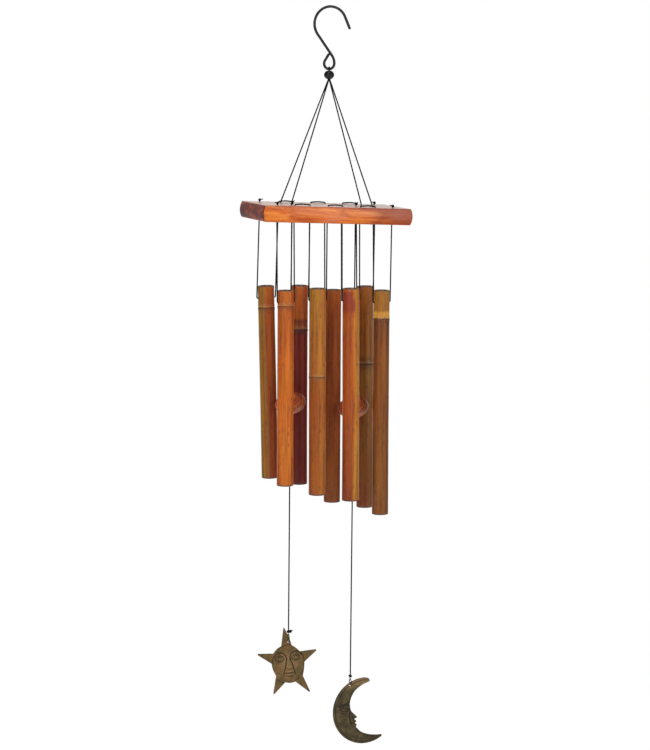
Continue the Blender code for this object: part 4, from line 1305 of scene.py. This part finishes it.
# Cuts of the moon's face: depth, width and points (brow, eyelids, eye, nose, nostril, mouth, chin)
MOON_CUTS = (
    (1.0, 0.8, [(-15.0, -25.6), (-10.6, -24.0), (-6.4, -23.7), (-2.4, -21.2)]),
    (0.9, 0.6, [(-13.4, -27.4), (-9.0, -25.8), (-5.0, -25.2), (-1.6, -23.6)]),
    (1.0, 0.65, [(-14.0, -30.0), (-9.6, -28.2), (-5.2, -28.3), (-2.0, -31.0)]),
    (1.0, 0.65, [(-14.0, -30.0), (-9.4, -32.2), (-5.0, -32.5), (-2.0, -31.0)]),
    (0.8, 0.6, [(-12.0, -34.4), (-8.0, -35.4), (-3.6, -34.6)]),
    (1.0, 0.85, [(0.6, -30.4), (-0.6, -36.4), (-0.4, -42.6), (1.9, -48.8)]),
    (0.8, 0.5, [(3.0, -39.6), (4.0, -41.6), (6.4, -41.9)]),
    (0.9, 0.5, [(3.2, -47.6), (5.6, -48.1), (8.4, -48.1)]),
    (0.6, 0.5, [(3.6, -52.6), (6.0, -52.9), (8.2, -52.7)]),
)


def moon_relief(points):
    """The moon's front, in millimetres from its hole: height, and how deep in a groove."""
    x, z = points[:, 0] - MOON_SHIFT, points[:, 1]
    points = np.stack([x, z], axis=1)
    out = np.hypot(x - MOON_CENTRE[0], z - MOON_CENTRE[1])
    border = MOON_R - 2.7
    height = -0.25 * np.clip((border - out) / 0.8, 0, 1)
    profile = flowing(MOON_FACE)
    inward = away_from(points, profile)
    along_face = np.clip((-18 - z) / 8, 0, 1) * np.clip((z + 60) / 8, 0, 1)
    height += 0.55 * np.exp(-((inward - 5.5) / 4.5) ** 2) * along_face
    for mound in MOON_MOUNDS:
        height += swell_at(points, *mound)
    cuts = 0.8 * np.exp(-((out - border) / 0.55) ** 2)
    for share, width, line in MOON_CUTS:
        cuts = np.maximum(cuts, share * groove(points, flowing(line), width))
    iris = almond((-5.0, -30.4), (1.5, 1.9))
    cuts = np.maximum(cuts, 0.7 * groove(points, iris, 0.42))
    hatch = np.sin((x + 0.7 * z) * 2.1) * np.sin((x - 0.9 * z) * 1.7)
    inside = np.clip((border - 1.0 - out) / 1.5, 0, 1) * np.clip((inward - 0.6) / 1.2, 0, 1)
    height += 0.14 * hatch * inside
    cuts = np.maximum(cuts, 0.24 * np.clip(-hatch, 0, 1) * inside)
    cuts = np.maximum(cuts, 0.6 * np.exp(-((inward - 1.5) / 0.5) ** 2) * np.clip((-6 - z) / 6, 0, 1))
    clear_of_tie = np.clip((np.hypot(x + MOON_SHIFT, z) - 3.0) / 3.0, 0, 1)
    return (height - 0.6 * cuts) * clear_of_tie, cuts


def charm_look(name, tones, dark, bright, metallic, roughness, mottle, tip=None):
    """Aged cast metal: mottled tones, dark patina down in the grooves, and a painted highlight on the high
    places.
    """
    paint = Shader(name)
    deep = paint.stored("deep")
    high = paint.stored("high")
    cloud = paint.noise(95, 95, 95, detail=4)
    grit = paint.noise(1500, 1500, 1500, detail=3)
    fleck = paint.noise(430, 430, 430, detail=3)
    pits, _ = paint.cells(900, 900, 900)
    steps = [(0.34 + 0.32 * i / (len(tones) - 1), tone) for i, tone in enumerate(tones)]
    colour = paint.ramp(cloud, *steps)
    if tip:
        _, _, z = paint.split(paint.place)
        rise = paint.plus(z, paint.times(cloud, 16 * MM))
        colour = paint.mix(paint.smooth(rise, 0, 12 * MM, 0, 0.8), colour, tip)
    colour = paint.mix(paint.smooth(grit, 0.45, 0.75, 0, 0.3), colour, paint.mix(0.8, colour, dark))
    colour = paint.mix(paint.smooth(fleck, 0.52, 0.66, 0, mottle), colour, dark)
    colour = paint.mix(paint.smooth(fleck, 0.48, 0.36, 0, mottle), colour, bright)
    # Painted highlight: the raised places of the relief are painted brighter
    colour = paint.mix(paint.smooth(high, 0.2, 1.0, 0, 0.55), colour, bright)
    colour = paint.mix(paint.smooth(deep, 0.12, 0.75, 0, 0.9), colour, dark)
    paint.put("Base Color", colour)
    paint.put("Metallic", metallic)
    paint.put("Roughness", paint.smooth(grit, 0.3, 0.75, roughness, roughness + 0.16))
    height = paint.plus(paint.times(grit, 0.7), paint.times(pits, 0.5))
    paint.bump(height, 0.4, 0.0002)
    return paint.material


def charm(name, outline, thickness, shift, relief, look, slot, hole_r):
    """One casting: its plate, the relief pushed into its front, and its hole."""
    rest = pivot(f"{name}_swings_on_its_tie")
    hole = Vector((rest.x, 0, rest.z - (CHARM_HOLE_R - LOOP_CORD_R - TIE_SLACK)))
    mesh = casting(f"cast_{name}", outline, thickness)
    bm = bmesh.new()
    bm.from_mesh(mesh)
    for _ in range(3):
        bmesh.ops.smooth_vert(bm, verts=bm.verts, factor=0.5,
                              use_axis_x=True, use_axis_y=True, use_axis_z=True)
    bm.to_mesh(mesh)
    bm.free()
    points = np.empty(len(mesh.vertices) * 3)
    mesh.vertices.foreach_get("co", points)
    points = points.reshape(-1, 3)
    spots = points[:, (0, 2)] / MM - np.array(shift)
    height, cuts = relief(spots)
    front = np.clip(-points[:, 1] / (thickness / 2), 0, 1) ** 2
    points[:, 1] -= height * MM * front
    wave = [noise.noise(Vector(p) * 130) * 0.1 * MM for p in points]
    points[:, 1] += np.array(wave) * np.abs(points[:, 1]) / (thickness / 2)
    mesh.vertices.foreach_set("co", points.ravel())
    # How raised each place is, for the painted highlight on the high places
    raised = np.clip(height / 1.6, 0, 1) * front * (1 - cuts)
    for label, values in (("deep", cuts * front), ("high", raised)):
        stored = mesh.attributes.new(label, "FLOAT", "POINT")
        stored.data.foreach_set("value", values.astype(np.float32))
    drill_at = Vector((0, 0, CHARM_HOLE_R - hole_r))
    mesh = cut(mesh, [(drill_at, (0, 1, 0), hole_r, 20 * MM)], segments=40)
    mesh.set_sharp_from_angle(angle=math.radians(60))
    piece(f"cast_{name}", mesh, look, name, [f"{name}_charm"], Matrix.Translation(hole))


def star():
    outline = []
    for arm, gap in STAR_EDGE:
        outline += [Vector(p) for p in arm] + through(*gap)
    shift = (STAR_SHIFT, -FACE_DROP)
    outline = [(p.x + shift[0], p.y + shift[1]) for p in outline]
    look = charm_look("cast_brass", ((0.09, 0.066, 0.02), (0.137, 0.086, 0.025), (0.205, 0.1, 0.038)),
                      (0.022, 0.015, 0.006), (0.33, 0.19, 0.085), 0.6, 0.45, 0.2)
    charm("star", outline, STAR_T, shift, star_relief, look, "star_casting", STAR_HOLE_R)


def moon():
    sweep_angles = np.radians(np.linspace(*MOON_SWEEP, 72))
    outline = [(MOON_CENTRE[0] + MOON_R * math.cos(a), MOON_CENTRE[1] + MOON_R * math.sin(a))
               for a in sweep_angles]
    outline += [(p.x, p.y) for p in flowing(MOON_FACE)][::-1]
    outline = [(x + MOON_SHIFT, z) for x, z in outline]
    look = charm_look("cast_bronze", ((0.045, 0.034, 0.014), (0.072, 0.05, 0.022), (0.105, 0.08, 0.032)),
                      (0.012, 0.009, 0.005), (0.15, 0.114, 0.05), 0.6, 0.46, 0.24, tip=(0.26, 0.165, 0.065))
    charm("moon", outline, MOON_T, (0.0, 0.0), moon_relief, look, "moon_casting", CHARM_HOLE_R)


# ---------------------------------------------------------------- the whole chime

camera()
cord = cord_look()
hang_loop(cord)
suspension(cord)
bar_cords(cord)
for tube_number in TUBES:
    tube_cord(tube_number, cord)
clapper_wood = disc_look()
for disc_number, disc_side, charm_name in ((1, "left", "star"), (2, "right", "moon")):
    pendant(charm_name, disc_side, cord)
    tie(charm_name, disc_side, cord)
    clapper(disc_number, disc_side, cord, clapper_wood)
s_hook()
bead(cord)
bar()
for tube_number in TUBES:
    bamboo(tube_number)
star()
moon()
studio()
